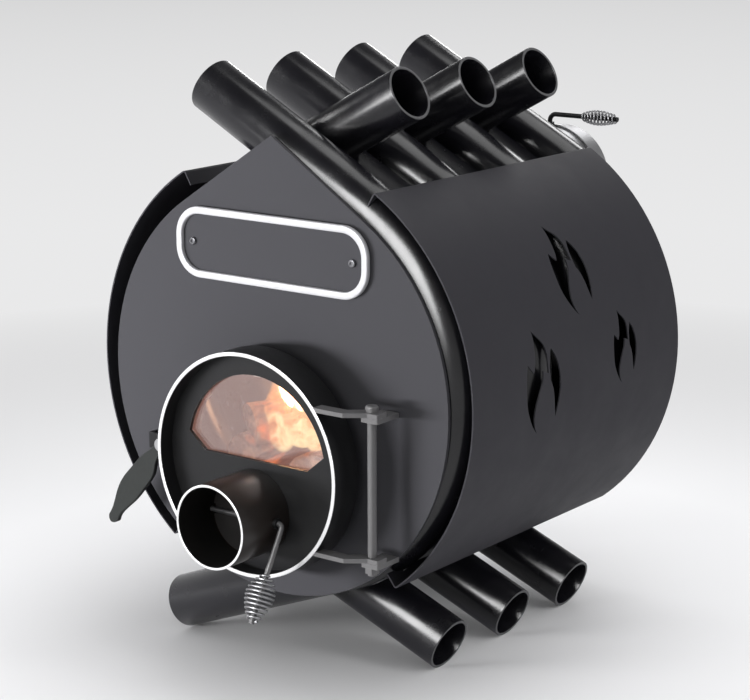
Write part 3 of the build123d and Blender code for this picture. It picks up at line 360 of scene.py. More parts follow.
def check_box(piece, node, reach=0.0006):
    """Stops if a rebuilt piece isn't where its CAD node is."""
    low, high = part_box(node)
    for axis in range(3):
        values = [v.co[axis] for v in piece.data.vertices]
        if abs(min(values) - low[axis]) > reach or abs(max(values) - high[axis]) > reach:
            raise RuntimeError(
                f"{piece.name} axis {axis}: {min(values):.5f}..{max(values):.5f}, "
                f"node {low[axis]:.5f}..{high[axis]:.5f}")


# Shader groups and finishes.

def fed(tree, socket, source):
    """Links a socket to an output, or gives it a value."""
    if isinstance(source, bpy.types.NodeSocket):
        tree.links.new(source, socket)
    else:
        socket.default_value = source


def wired(tree, kind, inputs=(), **settings):
    """Adds a node, sets it and fills its inputs, given as pairs of an input and a source."""
    node = tree.nodes.new(kind)
    for key, value in settings.items():
        setattr(node, key, value)
    for key, source in inputs:
        fed(tree, node.inputs[key], source)
    return node


def maths(tree, operation, *values, **settings):
    """Result of one step of arithmetic."""
    node = wired(tree, "ShaderNodeMath", enumerate(values), operation=operation, **settings)
    return node.outputs[0]


def noise(tree, place, scale, detail, **more):
    """Noise about 0.5, finer with its scale and detail."""
    inputs = {"Vector": place, "Scale": scale, "Detail": detail}
    inputs.update((key.title(), value) for key, value in more.items())
    return wired(tree, "ShaderNodeTexNoise", inputs.items()).outputs["Fac"]


def ranged(tree, value, low, high, first=0.0, second=1.0):
    """Value brought from one range to another, held at its ends."""
    return wired(tree, "ShaderNodeMapRange",
                 [("Value", value), ("From Min", low), ("From Max", high),
                  ("To Min", first), ("To Max", second)]).outputs["Result"]


def mixed(tree, factor, first, second, sockets=COLOUR_MIX):
    """Colour, or value, between two others."""
    kind = "RGBA" if sockets is COLOUR_MIX else "FLOAT"
    node = wired(tree, "ShaderNodeMix", data_type=kind)
    for index, source in zip(sockets, (factor, first, second)):
        if not isinstance(source, (bpy.types.NodeSocket, float)):
            source = (*source, 1)
        fed(tree, node.inputs[index], source)
    return node.outputs[sockets[-1]]


def shaded(tint, level):
    """A colour made darker or lighter."""
    return tuple(min(1.0, c * level) for c in tint)


def ray_is(tree, *kinds):
    """One where a ray is of one of the kinds, otherwise none."""
    path = wired(tree, "ShaderNodeLightPath")
    seen = path.outputs[kinds[0]]
    for kind in kinds[1:]:
        seen = maths(tree, "MAXIMUM", seen, path.outputs[kind])
    return seen


def group_tree(name, inputs, outputs):
    """An empty shader group with named sockets; its inputs have their values, or are vectors."""
    tree = bpy.data.node_groups.new(name, "ShaderNodeTree")
    for label, value in inputs.items():
        kind = "NodeSocketVector" if value is None else "NodeSocketFloat"
        socket = tree.interface.new_socket(name=label, in_out="INPUT", socket_type=kind)
        if value is not None:
            socket.default_value = value
    for label in outputs:
        tree.interface.new_socket(name=label, in_out="OUTPUT", socket_type="NodeSocketFloat")
    return tree, tree.nodes.new("NodeGroupInput").outputs, tree.nodes.new("NodeGroupOutput").inputs


def paint_skin_group():
    """Fine grain, soft tone and patches of a sprayed coat."""
    tree, given, result = group_tree(
        "Paint skin", {"Vector": None, "Grain": 900.0, "Mottle": 14.0}, ("Height", "Tone", "Patch"))
    place = given["Vector"]
    grain = noise(tree, place, given["Grain"], 3.0, roughness=0.55)
    peel = noise(tree, place, maths(tree, "MULTIPLY", given["Grain"], 0.18), 1.0)
    tone = noise(tree, place, given["Mottle"], 4.0, distortion=0.4)
    patch_scale = maths(tree, "MULTIPLY", given["Mottle"], 3.3)
    patch = noise(tree, place, patch_scale, 6.0, roughness=0.65)
    tree.links.new(maths(tree, "MULTIPLY_ADD", grain, 0.45, peel), result["Height"])
    tree.links.new(tone, result["Tone"])
    tree.links.new(patch, result["Patch"])
    return tree


def edge_wear_group():
    """Mask of edges where the coat is rubbed, broken up by noise."""
    tree, given, result = group_tree(
        "Edge wear", {"Vector": None, "Width": 0.0012, "Amount": 0.5}, ("Mask",))
    bevel = wired(tree, "ShaderNodeBevel", [("Radius", given["Width"])], samples=4)
    plain = wired(tree, "ShaderNodeNewGeometry")
    same = wired(tree, "ShaderNodeVectorMath",
                 [(0, bevel.outputs["Normal"]), (1, plain.outputs["Normal"])],
                 operation="DOT_PRODUCT")
    bent = ranged(tree, same.outputs["Value"], 0.985, 0.80)
    rub = noise(tree, given["Vector"], 160.0, 5.0, roughness=0.7)
    both = maths(tree, "MULTIPLY", bent, ranged(tree, rub, 0.45, 0.62))
    mask = maths(tree, "MULTIPLY", both, given["Amount"], use_clamp=True)
    tree.links.new(mask, result["Mask"])
    return tree


def brushed_group():
    """Fine turning and brushing marks of bare steel."""
    tree, given, result = group_tree(
        "Brushed steel", {"Vector": None, "Stretch": None}, ("Height", "Streak"))
    stretched = wired(tree, "ShaderNodeVectorMath", [(0, given["Vector"]), (1, given["Stretch"])],
                      operation="MULTIPLY")
    streak = noise(tree, stretched.outputs[0], 1.0, 4.0, roughness=0.6)
    speck = noise(tree, given["Vector"], 420.0, 2.0)
    tree.links.new(maths(tree, "MULTIPLY_ADD", speck, 0.3, streak), result["Height"])
    tree.links.new(streak, result["Streak"])
    return tree


def grouped(tree, name, make, **inputs):
    """Outputs of a shared shader group, which is built the first time that it is asked for."""
    group = bpy.data.node_groups.get(name) or make()
    return wired(tree, "ShaderNodeGroup", inputs.items(), node_tree=group).outputs


def new_finish(name):
    """A material with its shader's inputs and the place on the piece, ready for links."""
    paint = bpy.data.materials.new(name)
    paint.use_nodes = True
    tree = paint.node_tree
    shader = next(n for n in tree.nodes if n.type == "BSDF_PRINCIPLED")
    place = wired(tree, "ShaderNodeTexCoord").outputs["Object"]
    return paint, tree, shader, place


def surface(tree, shader, inputs, relief=None, distance=0.0):
    """Fills the shader's inputs, and adds a bump if there is a relief."""
    for key, source in inputs.items():
        fed(tree, shader.inputs[key], source)
    if relief is not None:
        bump = wired(tree, "ShaderNodeBump",
                     [("Height", relief), ("Distance", distance), ("Strength", 1.0)])
        tree.links.new(bump.outputs["Normal"], shader.inputs["Normal"])


def coated(name, tint, rough, grain=900.0, relief=0.00002, mottle=14.0, swing=0.12, gloss=0.5,
           rub=0.0, rub_tint=(0.35, 0.35, 0.36), rub_width=0.0012):
    """Sprayed or enamelled steel: grain, soft tone, patches of gloss and rubbed edges."""
    paint, tree, shader, place = new_finish(name)
    skin = grouped(tree, "Paint skin", paint_skin_group, Vector=place, Grain=grain, Mottle=mottle)
    base = mixed(tree, skin["Tone"], shaded(tint, 1 - swing), shaded(tint, 1 + swing))
    if rub:
        worn = grouped(tree, "Edge wear", edge_wear_group, Vector=place, Width=rub_width,
                       Amount=rub)["Mask"]
        base = mixed(tree, worn, base, rub_tint)
        surface(tree, shader, {"Metallic": ranged(tree, worn, 0.0, 1.0, 0.0, 0.9)})
    surface(tree, shader,
            {"Base Color": base,
             "Roughness": ranged(tree, skin["Patch"], 0.3, 0.7, rough - 0.05, rough + 0.06),
             "Specular IOR Level": gloss},
            skin["Height"], relief)
    return paint


def bare_steel(name, tint, rough, stretch, relief=0.000015, swing=0.1, metallic=1.0):
    """Bare or turned steel with fine marks along one direction."""
    paint, tree, shader, place = new_finish(name)
    marks = grouped(tree, "Brushed steel", brushed_group, Vector=place, Stretch=stretch)
    streak = marks["Streak"]
    surface(tree, shader,
            {"Base Color": mixed(tree, streak, shaded(tint, 1 - swing), shaded(tint, 1 + swing)),
             "Roughness": ranged(tree, streak, 0.3, 0.7, rough - 0.05, rough + 0.08),
             "Metallic": metallic},
            marks["Height"], relief)
    return paint


def stove_glass():
    """Heat-proof window glass, faintly smoked, with a painted pink glow standing in for the fire's
    light in the smoke film.
    """
    paint, tree, shader, place = new_finish("Stove glass")
    smoke = noise(tree, place, 22.0, 4.0)
    surface(tree, shader,
            {"Base Color": mixed(tree, ranged(tree, smoke, 0.35, 0.7),
                                 (0.96, 0.93, 0.90), (0.84, 0.77, 0.72)),
             "Roughness": ranged(tree, smoke, 0.3, 0.7, 0.02, 0.07),
             # Emission is a painted glow: the fire's light in the smoke film, painted onto the
             # glass.
             "Emission Color": mixed(tree, smoke, (0.80, 0.36, 0.29), (1.0, 0.52, 0.44)),
             "Emission Strength": 0.105,
             "Transmission Weight": 1.0,
             "IOR": 1.5,
             "Coat Weight": 0.6,
             "Coat IOR": 1.9})
    return paint


def knitted_rope(tint):
    """Glass rope with a knitted sleeve, from the ring's own map."""
    paint, tree, shader, place = new_finish("Seal rope")
    ring_map = wired(tree, "ShaderNodeUVMap")
    around = wired(tree, "ShaderNodeMapping",
                   [("Vector", ring_map.outputs["UV"]), ("Scale", (150.0, 4.0, 1.0))])
    split = wired(tree, "ShaderNodeSeparateXYZ", [("Vector", around.outputs["Vector"])])
    strands = []
    for sign in (1.0, -1.0):
        lean = maths(tree, "MULTIPLY_ADD", split.outputs["Y"], sign, split.outputs["X"])
        strands.append(maths(tree, "SINE", maths(tree, "MULTIPLY", lean, 2 * math.pi)))
    knit = maths(tree, "MAXIMUM", *strands)
    fuzz = noise(tree, place, 900.0, 3.0)
    surface(tree, shader,
            # Darker between the knitted strands: painted shade in the creases of the knit.
            {"Base Color": mixed(tree, ranged(tree, knit, -0.2, 1.0), shaded(tint, 0.45), tint),
             "Roughness": ranged(tree, fuzz, 0.3, 0.7, 0.82, 0.95)},
            maths(tree, "MULTIPLY_ADD", fuzz, 0.35, knit), 0.0005)
    return paint


def charred_log():
    """Split log: streaky wood with charred patches that glow."""
    paint, tree, shader, place = new_finish("Charred log")
    stretched = wired(tree, "ShaderNodeMapping", [("Vector", place), ("Scale", (1.0, 0.22, 1.0))])
    grain = noise(tree, stretched.outputs["Vector"], 85.0, 7.0, roughness=0.7, distortion=0.5)
    char = noise(tree, place, 17.0, 4.0)
    wood = mixed(tree, ranged(tree, grain, 0.35, 0.65), (0.22, 0.095, 0.05), (0.62, 0.36, 0.22))
    surface(tree, shader,
            {"Base Color": mixed(tree, ranged(tree, char, 0.52, 0.66), wood, (0.02, 0.014, 0.012)),
             "Roughness": ranged(tree, grain, 0.3, 0.7, 0.8, 0.95),
             "Emission Color": mixed(tree, ranged(tree, char, 0.58, 0.72),
                                     (0, 0, 0), (1.0, 0.22, 0.03)),
             "Emission Strength": 1.2},
            grain, 0.003)
    return paint


def ember_bed():
    """Grey ash over glowing embers."""
    paint, tree, shader, place = new_finish("Embers")
    lump = wired(tree, "ShaderNodeTexVoronoi", [("Vector", place), ("Scale", 75.0)],
                 feature="F1").outputs["Distance"]
    flake = noise(tree, place, 240.0, 5.0)
    surface(tree, shader,
            {"Base Color": mixed(tree, ranged(tree, flake, 0.35, 0.65),
                                 (0.05, 0.035, 0.03), (0.34, 0.28, 0.25)),
             "Roughness": ranged(tree, flake, 0.3, 0.7, 0.85, 0.97),
             "Emission Color": mixed(tree, ranged(tree, lump, 0.25, 0.75),
                                     (0, 0, 0), (1.0, 0.25, 0.04)),
             "Emission Strength": 0.7},
            lump, 0.004)
    return paint


def flame_glow(low_z, high_z):
    """Flame: pale yellow at its foot, orange and thin at its tip."""
    paint, tree, shader, place = new_finish("Flame")
    split = wired(tree, "ShaderNodeSeparateXYZ", [("Vector", place)])
    lick = noise(tree, place, 46.0, 4.0, distortion=1.6)
    height = ranged(tree, split.outputs["Z"], low_z, high_z)
    wobble = maths(tree, "MULTIPLY_ADD", lick, 1.5, height)
    rim = wired(tree, "ShaderNodeLayerWeight", [("Blend", 0.45)])
    edge = ranged(tree, rim.outputs["Facing"], 0.75, 0.15)
    thin = ranged(tree, wobble, 1.45, 1.05)
    surface(tree, shader,
            {"Emission Color": mixed(tree, ranged(tree, wobble, 0.85, 1.35),
                                     (1.0, 0.80, 0.42), (0.95, 0.30, 0.05)),
             "Emission Strength": 1.15,
             "Base Color": (0, 0, 0, 1),
             "Specular IOR Level": 0.0,
             "Alpha": maths(tree, "MULTIPLY", edge, thin)})
    paint.surface_render_method = "BLENDED"
    return paint


PAINTS = {}


def make_paints(finishes):
    """Every finish of the stove, by name."""
    PAINTS.clear()
    wear = finishes.wear
    PAINTS.update({
        "enamel": coated("Tube enamel", finishes.enamel, 0.235, grain=320.0, relief=0.000010,
                         mottle=9.0, swing=0.10, rub=0.2 * wear, rub_width=0.0009),
        "black": coated("Black paint", finishes.black, 0.42, grain=1400.0, swing=0.16, gloss=0.24,
                        rub=0.35 * wear),
        # Brownish black of the air pipe; its brown tint is a painted warm reflection of the fire's
        # glow.
        "pipe": coated("Black with painted fire glow", (0.0150, 0.0115, 0.0100), 0.30, grain=1100.0,
                       relief=0.000012, mottle=5.0, swing=0.08, gloss=0.4, rub=0.2 * wear),
        "neck": bare_steel("Neck steel", (0.36, 0.36, 0.37), 0.45, (300.0, 900.0, 300.0),
                           swing=0.12),
        # Near-black inside of the air pipe: painted shade that hides the fire's light in the pipe.
        "pipe_inside_shade": coated("Pipe inside painted shade", (0.006, 0.0055, 0.005), 0.85, grain=700.0,
                              relief=0.00006, mottle=26.0, swing=0.3, gloss=0.05),
        "plate": coated("Plate paint", finishes.plate, 0.46, grain=1500.0, mottle=7.0, swing=0.05,
                        gloss=0.08, rub=0.25 * wear),
        "casing": coated("Casing paint", finishes.casing, 0.60, grain=1700.0, relief=0.000025,
                         mottle=6.0, swing=0.035, gloss=0.18, rub=0.35 * wear,
                         rub_width=0.0008),
        "hinge": coated("Hinge grey", finishes.hinge, 0.46, grain=1200.0, relief=0.00003,
                        mottle=40.0, swing=0.14, gloss=0.45, rub=0.6 * wear),
        "lever": coated("Forged black", (0.0095, 0.0112, 0.0106), 0.56, grain=420.0,
                        relief=0.00009, mottle=55.0, swing=0.22, gloss=0.35, rub=0.4 * wear),
        "soot": coated("Sooted steel", (0.024, 0.021, 0.020), 0.82, grain=700.0, relief=0.00009,
                       mottle=26.0, swing=0.45, gloss=0.12),
        "cut": bare_steel("Cut steel", (0.105, 0.105, 0.11), 0.50, (600.0, 600.0, 600.0),
                          swing=0.2, metallic=0.3),
        "screw": bare_steel("Screw steel", (0.16, 0.16, 0.17), 0.42, (500.0, 500.0, 500.0),
                            swing=0.2),
        "bright": bare_steel("Bright rim", finishes.steel, 0.36, (900.0, 60.0, 900.0),
                             metallic=0.55),
        "frame": bare_steel("Cast frame", (0.50, 0.50, 0.52), 0.55, (260.0, 260.0, 260.0),
                            relief=0.00004, metallic=0.25),
        "spring": bare_steel("Spring wire", (0.30, 0.30, 0.31), 0.36, (700.0, 700.0, 700.0),
                             swing=0.16),
        "plain": bare_steel("Plain steel", (0.42, 0.42, 0.43), 0.38, (500.0, 500.0, 500.0),
                            swing=0.15),
        "glass": stove_glass(),
        "rope": knitted_rope(finishes.rope),
    })


# Operators.

class STOVE_OT_tubes(bpy.types.Operator):
    """Seven bent air tubes: a ring is extruded, spun round the bend and extruded again"""

    bl_idname = "stove.tubes"
    bl_label = "Air tubes"

    def extruded(self, move):
        """Draws the selected ring out along a straight run."""
        bpy.ops.mesh.extrude_edges_move(
            TRANSFORM_OT_translate={"value": move, "orient_type": "GLOBAL"})

    def skin(self, sizes, side, y):
        """Outer skin of one tube, open at both ends."""
        radius, low, top = sizes.tube_diameter / 2, sizes.low_angle, sizes.top_angle
        centre_z = (sizes.bend_radius * math.sin(low) + sizes.low_run * math.cos(low)
                    + radius * math.sin(low))
        along_low = Vector((math.sin(low), 0, math.cos(low)))
        along_top = Vector((-math.sin(top), 0, math.cos(top)))
        low_end = Vector((sizes.bend_radius * math.cos(low), y,
                          centre_z - sizes.bend_radius * math.sin(low)))
        only(None)
        bpy.ops.mesh.primitive_circle_add(
            vertices=TUBE_SIDES, radius=radius, fill_type="NOTHING",
            location=low_end - along_low * sizes.low_run, rotation=(0, low, 0))
        tube = started("air_tube")
        opened("EDGE")
        self.extruded(along_low * sizes.low_run)
        bpy.ops.mesh.spin(steps=sizes.bend_steps, angle=low + top, center=(0, y, centre_z),
                          axis=(0, 1, 0))
        self.extruded(along_top * sizes.top_run)
        bpy.ops.mesh.select_all(action="SELECT")
        bpy.ops.mesh.remove_doubles(threshold=WELD_REACH)
        closed()
        if side < 0:
            tube.scale = (-1, 1, 1)
            placed(tube)
        self.turn_outwards(tube, Vector((0, y, centre_z)))
        return tube

    def turn_outwards(self, tube, middle):
        """Makes the skin's faces look away from the inside of the tube."""
        only(tube)
        opened()
        bpy.ops.mesh.normals_make_consistent(inside=False)
        closed()
        farthest = max(tube.data.polygons, key=lambda face: abs(face.center.x))
        if farthest.normal.dot(farthest.center - middle) < 0:
            opened()
            bpy.ops.mesh.flip_normals()
            closed()

    def execute(self, context):
        sizes = context.scene.stove_sizes
        for side, names in ((1, RIGHT_TUBES), (-1, LEFT_TUBES)):
            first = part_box(names[0])
            y = (first[0].y + first[1].y) / 2
            master = self.skin(sizes, side, y)
            thickened(master, sizes.tube_wall)
            rounded(master, sizes.rim_round, 2)
            smooth(master)
            top = Vector((-side * math.sin(sizes.top_angle), 0, math.cos(sizes.top_angle)))
            low = Vector((-side * math.sin(sizes.low_angle), 0, -math.cos(sizes.low_angle)))
            for node in names:
                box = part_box(node)
                tube = copied(master, "air_" + node, (0, (box[0].y + box[1].y) / 2 - y, 0))
                check_box(tube, node)
                finish_piece(tube, PAINTS["enamel"], "stove", "tube_enamel", node)
                painted_faces(
                    tube, PAINTS["cut"],
                    lambda face: max(face.normal.dot(top), face.normal.dot(low)) > CUT_END_FACING
                    and (face.center.z > box[1].z - CUT_END_REACH
                         or face.center.z < CUT_END_REACH))
            bpy.data.objects.remove(master)
        return {"FINISHED"}


class STOVE_OT_rings(bpy.types.Operator):
    """Drum of the door, collar behind it and air pipe, with their turned rims"""

    bl_idname = "stove.rings"
    bl_label = "Door rings"

    def ring(self, name, node, body, paint, centre_z, wall, rim, sides, shorter=0.0):
        """Hollow cylinder along Y with rounded rims, in place of a CAD node."""
        low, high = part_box(node)
        front, back = low.y, high.y - shorter
        only(None)
        bpy.ops.mesh.primitive_cylinder_add(
            vertices=sides, radius=(high.x - low.x) / 2, depth=back - front,
            end_fill_type="NOTHING", location=(0, (front + back) / 2, centre_z),
            rotation=(math.pi / 2, 0, 0))
        ring = started(name)
        thickened(ring, wall)
        rounded(ring, rim, 3)
        smooth(ring)
        check_box(ring, node)
        finish_piece(ring, PAINTS[paint], body, "black_paint", node)
        return ring

    def execute(self, context):
        sides = context.scene.stove_sizes.ring_sides
        drum = self.ring("drum_shell", "door_drum", "door", "black", DOOR_CENTRE_Z, DOOR_WALL,
                         DRUM_RIM_ROUND, sides)
        painted_faces(drum, PAINTS["bright"],
                      lambda face: face.center.y < DOOR_LOW.y + DRUM_RIM_DEPTH)
        self.ring("collar_ring", "door_collar", "stove", "black", DOOR_CENTRE_Z, DOOR_WALL,
                  RIM_ROUND, sides, COLLAR_CLEARANCE)
        pipe = self.ring("air_pipe_shell", "air_pipe", "door", "pipe", PIPE_CENTRE_Z, PIPE_WALL,
                         RIM_ROUND, sides)
        centre = Vector((0, 0, PIPE_CENTRE_Z))
        # The pipe's inside faces get the near-black painted shade.
        painted_faces(pipe, PAINTS["pipe_inside_shade"],
                      lambda face: face.normal.dot(face.center - centre) < INSIDE_FACING
                      and abs(face.normal.y) < SIDE_FACING)
        painted_faces(pipe, PAINTS["bright"],
                      lambda face: face.center.y < PIPE_LOW.y + PIPE_RIM_DEPTH)
        return {"FINISHED"}


class STOVE_OT_nameplate(bpy.types.Operator):
    """Cast frame of the bare plate: a plane with rounded corners, inset, opened and thickened"""

    bl_idname = "stove.nameplate"
    bl_label = "Nameplate frame"

    def execute(self, context):
        low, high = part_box("nameplate_frame")
        only(None)
        bpy.ops.mesh.primitive_plane_add(
            size=1, location=((low.x + high.x) / 2, low.y, (low.z + high.z) / 2),
            rotation=(math.pi / 2, 0, 0))
        plate = bpy.context.active_object
        plate.scale = (high.x - low.x, high.z - low.z, 1)
        plate = started("nameplate_ring")
        opened("VERT")
        bpy.ops.mesh.bevel(offset=FRAME_CORNER, offset_type="OFFSET", segments=20,
                           affect="VERTICES")
        bpy.ops.mesh.select_mode(type="FACE")
        bpy.ops.mesh.select_all(action="SELECT")
        bpy.ops.mesh.inset(thickness=FRAME_BAND, depth=0, use_even_offset=True)
        bpy.ops.mesh.delete(type="ONLY_FACE")
        closed()
        thickened(plate, high.y - low.y)
        rounded(plate, context.scene.stove_sizes.frame_round, 5)
        smooth(plate, 40)
        check_box(plate, "nameplate_frame")
        finish_piece(plate, PAINTS["frame"], "stove", "bright_steel", "nameplate_frame")
        return {"FINISHED"}


class STOVE_OT_grips(bpy.types.Operator):
    """Barrel grips wound from one wire on the ends of both damper rods"""

    bl_idname = "stove.grips"
    bl_label = "Wound grips"

    def grip(self, name, origin, along, across, length, turns, wire, radii, peak):
        """Wire wound round a line; radii: at its start, at its widest place and at its end."""
        start, widest, end = radii
        other = along.cross(across)
        steps = turns * STEPS_PER_TURN
        curve = bpy.data.curves.new(name, "CURVE")
        curve.dimensions = "3D"
        curve.bevel_depth = wire / 2
        curve.bevel_resolution = 3
        curve.use_fill_caps = True
        spline = curve.splines.new("POLY")
        spline.points.add(steps)
        for step in range(steps + 1):
            share = step / steps
            if share < peak:
                radius = start + (widest - start) * math.sin(math.pi / 2 * share / peak)
            else:
                fall = math.cos(math.pi / 2 * (share - peak) / (1 - peak))
                radius = end + (widest - end) * fall
            turn = 2 * math.pi * turns * share
            point = (origin + along * (wire / 2 + (length - wire) * share)
                     + across * (radius * math.cos(turn)) + other * (radius * math.sin(turn)))
            spline.points[step].co = (*point, 1)
        only(added(name, curve))
        bpy.ops.object.convert(target="MESH")
        grip = bpy.context.active_object
        smooth(grip, 60)
        return grip

    def execute(self, context):
        down = Vector((0, -math.sin(AIR_ROD_SLOPE), -math.cos(AIR_ROD_SLOPE)))
        corner = Vector((AIR_ROD_X, at_front(AIR_ROD_DEPTH_MM), PIPE_CENTRE_Z))
        air = self.grip("air_grip_coil", corner + down * AIR_GRIP_START, down, Vector((1, 0, 0)),
                        length=0.049, turns=11, wire=0.0025, radii=(0.0043, 0.0141, 0.0045),
                        peak=0.42)
        check_box(air, "air_damper_grip", GRIP_REACH)
        finish_piece(air, PAINTS["spring"], "air_damper", "bright_steel", "air_damper_grip")
        low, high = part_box("flue_damper_grip")
        middle = (low + high) / 2
        flue = self.grip("flue_grip_coil", Vector((low.x, middle.y, middle.z)),
                         Vector((1, 0, 0)), Vector((0, 1, 0)), length=high.x - low.x, turns=10,
                         wire=0.002, radii=(0.00405, 0.008, 0.0043), peak=0.45)
        check_box(flue, "flue_damper_grip", GRIP_REACH)
        finish_piece(flue, PAINTS["spring"], "flue_damper", "bright_steel", "flue_damper_grip")
        return {"FINISHED"}


class STOVE_OT_seal(bpy.types.Operator):
    """Rope seal between the door's disc and the collar"""

    bl_idname = "stove.seal"
    bl_label = "Door seal"

    def execute(self, context):
        low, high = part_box("door_seal")
        only(None)
        bpy.ops.mesh.primitive_torus_add(
            major_radius=(high.x - low.x) / 2 - ROPE_THICKNESS / 2,
            minor_radius=ROPE_THICKNESS / 2, major_segments=360, minor_segments=20,
            location=(0, (low.y + high.y) / 2, (low.z + high.z) / 2),
            rotation=(math.pi / 2, 0, 0), generate_uvs=True)
        rope = started("seal_ring")
        smooth(rope, 60)
        check_box(rope, "door_seal")
        finish_piece(rope, PAINTS["rope"], "door", "seal_rope", "door_seal")
        return {"FINISHED"}


class STOVE_OT_fire(bpy.types.Operator):
    """Split logs on an ember bed with flames, behind the window"""

    bl_idname = "stove.fire"
    bl_label = "Logs and fire"

    def roughened(self, piece, name, lump_size, strength):
        """Moves a piece's surface in and out by soft lumps."""
        lumps = bpy.data.textures.new(name, "CLOUDS")
        lumps.noise_scale = lump_size
        modified(piece, "DISPLACE", texture=lumps, texture_coords="LOCAL", strength=strength,
                 mid_level=0.5)
        bpy.data.textures.remove(lumps)

    def log(self, name, radius, length, middle, turn, seed):
        """One split log: a rough cylinder with one flat split face."""
        only(None)
        bpy.ops.mesh.primitive_cylinder_add(
            vertices=LOG_SIDES, radius=radius, depth=length, location=(0, 0, 0),
            end_fill_type="NGON")
        log = started(name)
        opened()
        bpy.ops.mesh.bisect(plane_co=(radius * LOG_SPLIT, 0, 0), plane_no=SPLIT_FACING,
                            use_fill=True, clear_outer=True)
        bpy.ops.mesh.select_all(action="SELECT")
        bpy.ops.mesh.quads_convert_to_tris()
        bpy.ops.mesh.subdivide(number_cuts=3)
        closed()
        aside = seed * LUMP_STEP
        log.location = (aside, 0, 0)
        placed(log)
        self.roughened(log, name + "_bark", radius * BARK_LUMP, radius * BARK_HEIGHT)
        log.location = (-aside, 0, 0)
        placed(log)
        log.rotation_euler = turn
        log.location = middle
        placed(log)
        smooth(log, 35)
        return log

    def flame(self, name, foot, width, height, lean, twist):
        """One tongue of flame, tapered and twisted."""
        only(None)
        bpy.ops.mesh.primitive_uv_sphere_add(
            segments=24, ring_count=18, radius=1, location=(0, 0, 0))
        flame = bpy.context.active_object
        flame.scale = (width / 2, width * FLAME_DEPTH, height / 2)
        flame = started(name)
        for method, axis, value in (("TAPER", "Z", {"factor": FLAME_TAPER}),
                                    ("TWIST", "Z", {"angle": twist}),
                                    ("BEND", "Y", {"angle": lean})):
            modified(flame, "SIMPLE_DEFORM", deform_method=method, deform_axis=axis, **value)
        flame.location = Vector(foot) + Vector((0, 0, height * FLAME_RISE))
        placed(flame)
        smooth(flame, 80)
        return flame

    def execute(self, context):
        bark = charred_log()
        coals = ember_bed()
        for name, radius, length, x, depth, z, turn, seed in LOGS:
            log = self.log(name, radius, length, (x, at_front(depth), z), turn, seed)
            finish_piece(log, bark, "stove", None)
        only(None)
        bpy.ops.mesh.primitive_grid_add(
            x_subdivisions=44, y_subdivisions=80, size=1,
            location=(0, at_front(BED_DEPTH_MM), BED_Z))
        bed = bpy.context.active_object
        bed.scale = (BED_WIDTH, BED_LENGTH, 1)
        bed = started("ember_bed")
        self.roughened(bed, "ember_lumps", BED_LUMP, BED_LUMP_HEIGHT)
        modified(bed, "SOLIDIFY", thickness=BED_THICKNESS, offset=-1)
        smooth(bed, 50)
        finish_piece(bed, coals, "stove", None)
        glow = flame_glow(FLAME_FOOT_Z, FLAME_TIP_Z)
        for name, x, depth, z, width, height, lean, twist in FLAMES:
            flame = self.flame(name, (x, at_front(depth), z), width, height, lean, twist)
            finish_piece(flame, glow, "stove", None)
        return {"FINISHED"}


class STOVE_OT_finishes(bpy.types.Operator):
    """Finishes of the CAD nodes that stay"""

    bl_idname = "stove.finishes"
    bl_label = "Finishes"

    def execute(self, context):
        given = {
            "plate": ["front_plate", "rear_plate", "nameplate_field"],
            "casing": ["casing_right", "casing_left"],
            "neck": ["flue_neck"],
            "black": ["door_disc", "flue_bushes", "air_bushes", "latch_boss", "latch_keeper",
                      "flue_damper_rod"],
            "hinge": ["hinge_bar_top", "hinge_bar_low", "hinge_lug_top", "hinge_lug_low",
                      "hinge_bolt", "hinge_nut", "air_damper_rod"],
            "lever": ["latch_lever", "latch_cam"],
            "soot": ["air_damper_disc", "flue_damper_disc", "injector_nozzles", "baffle"],
            "enamel": [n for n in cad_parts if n.startswith("web_")],
            "plain": ["latch_shaft", "glass_clips", "clip_screws", "air_damper_screws",
                      "flue_damper_screws"],
            "screw": ["nameplate_screws"],
            "glass": ["window_glass"],
        }
        for paint, nodes in given.items():
            for node in nodes:
                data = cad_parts[node].data
                data.materials.clear()
                data.materials.append(PAINTS[paint])
        return {"FINISHED"}


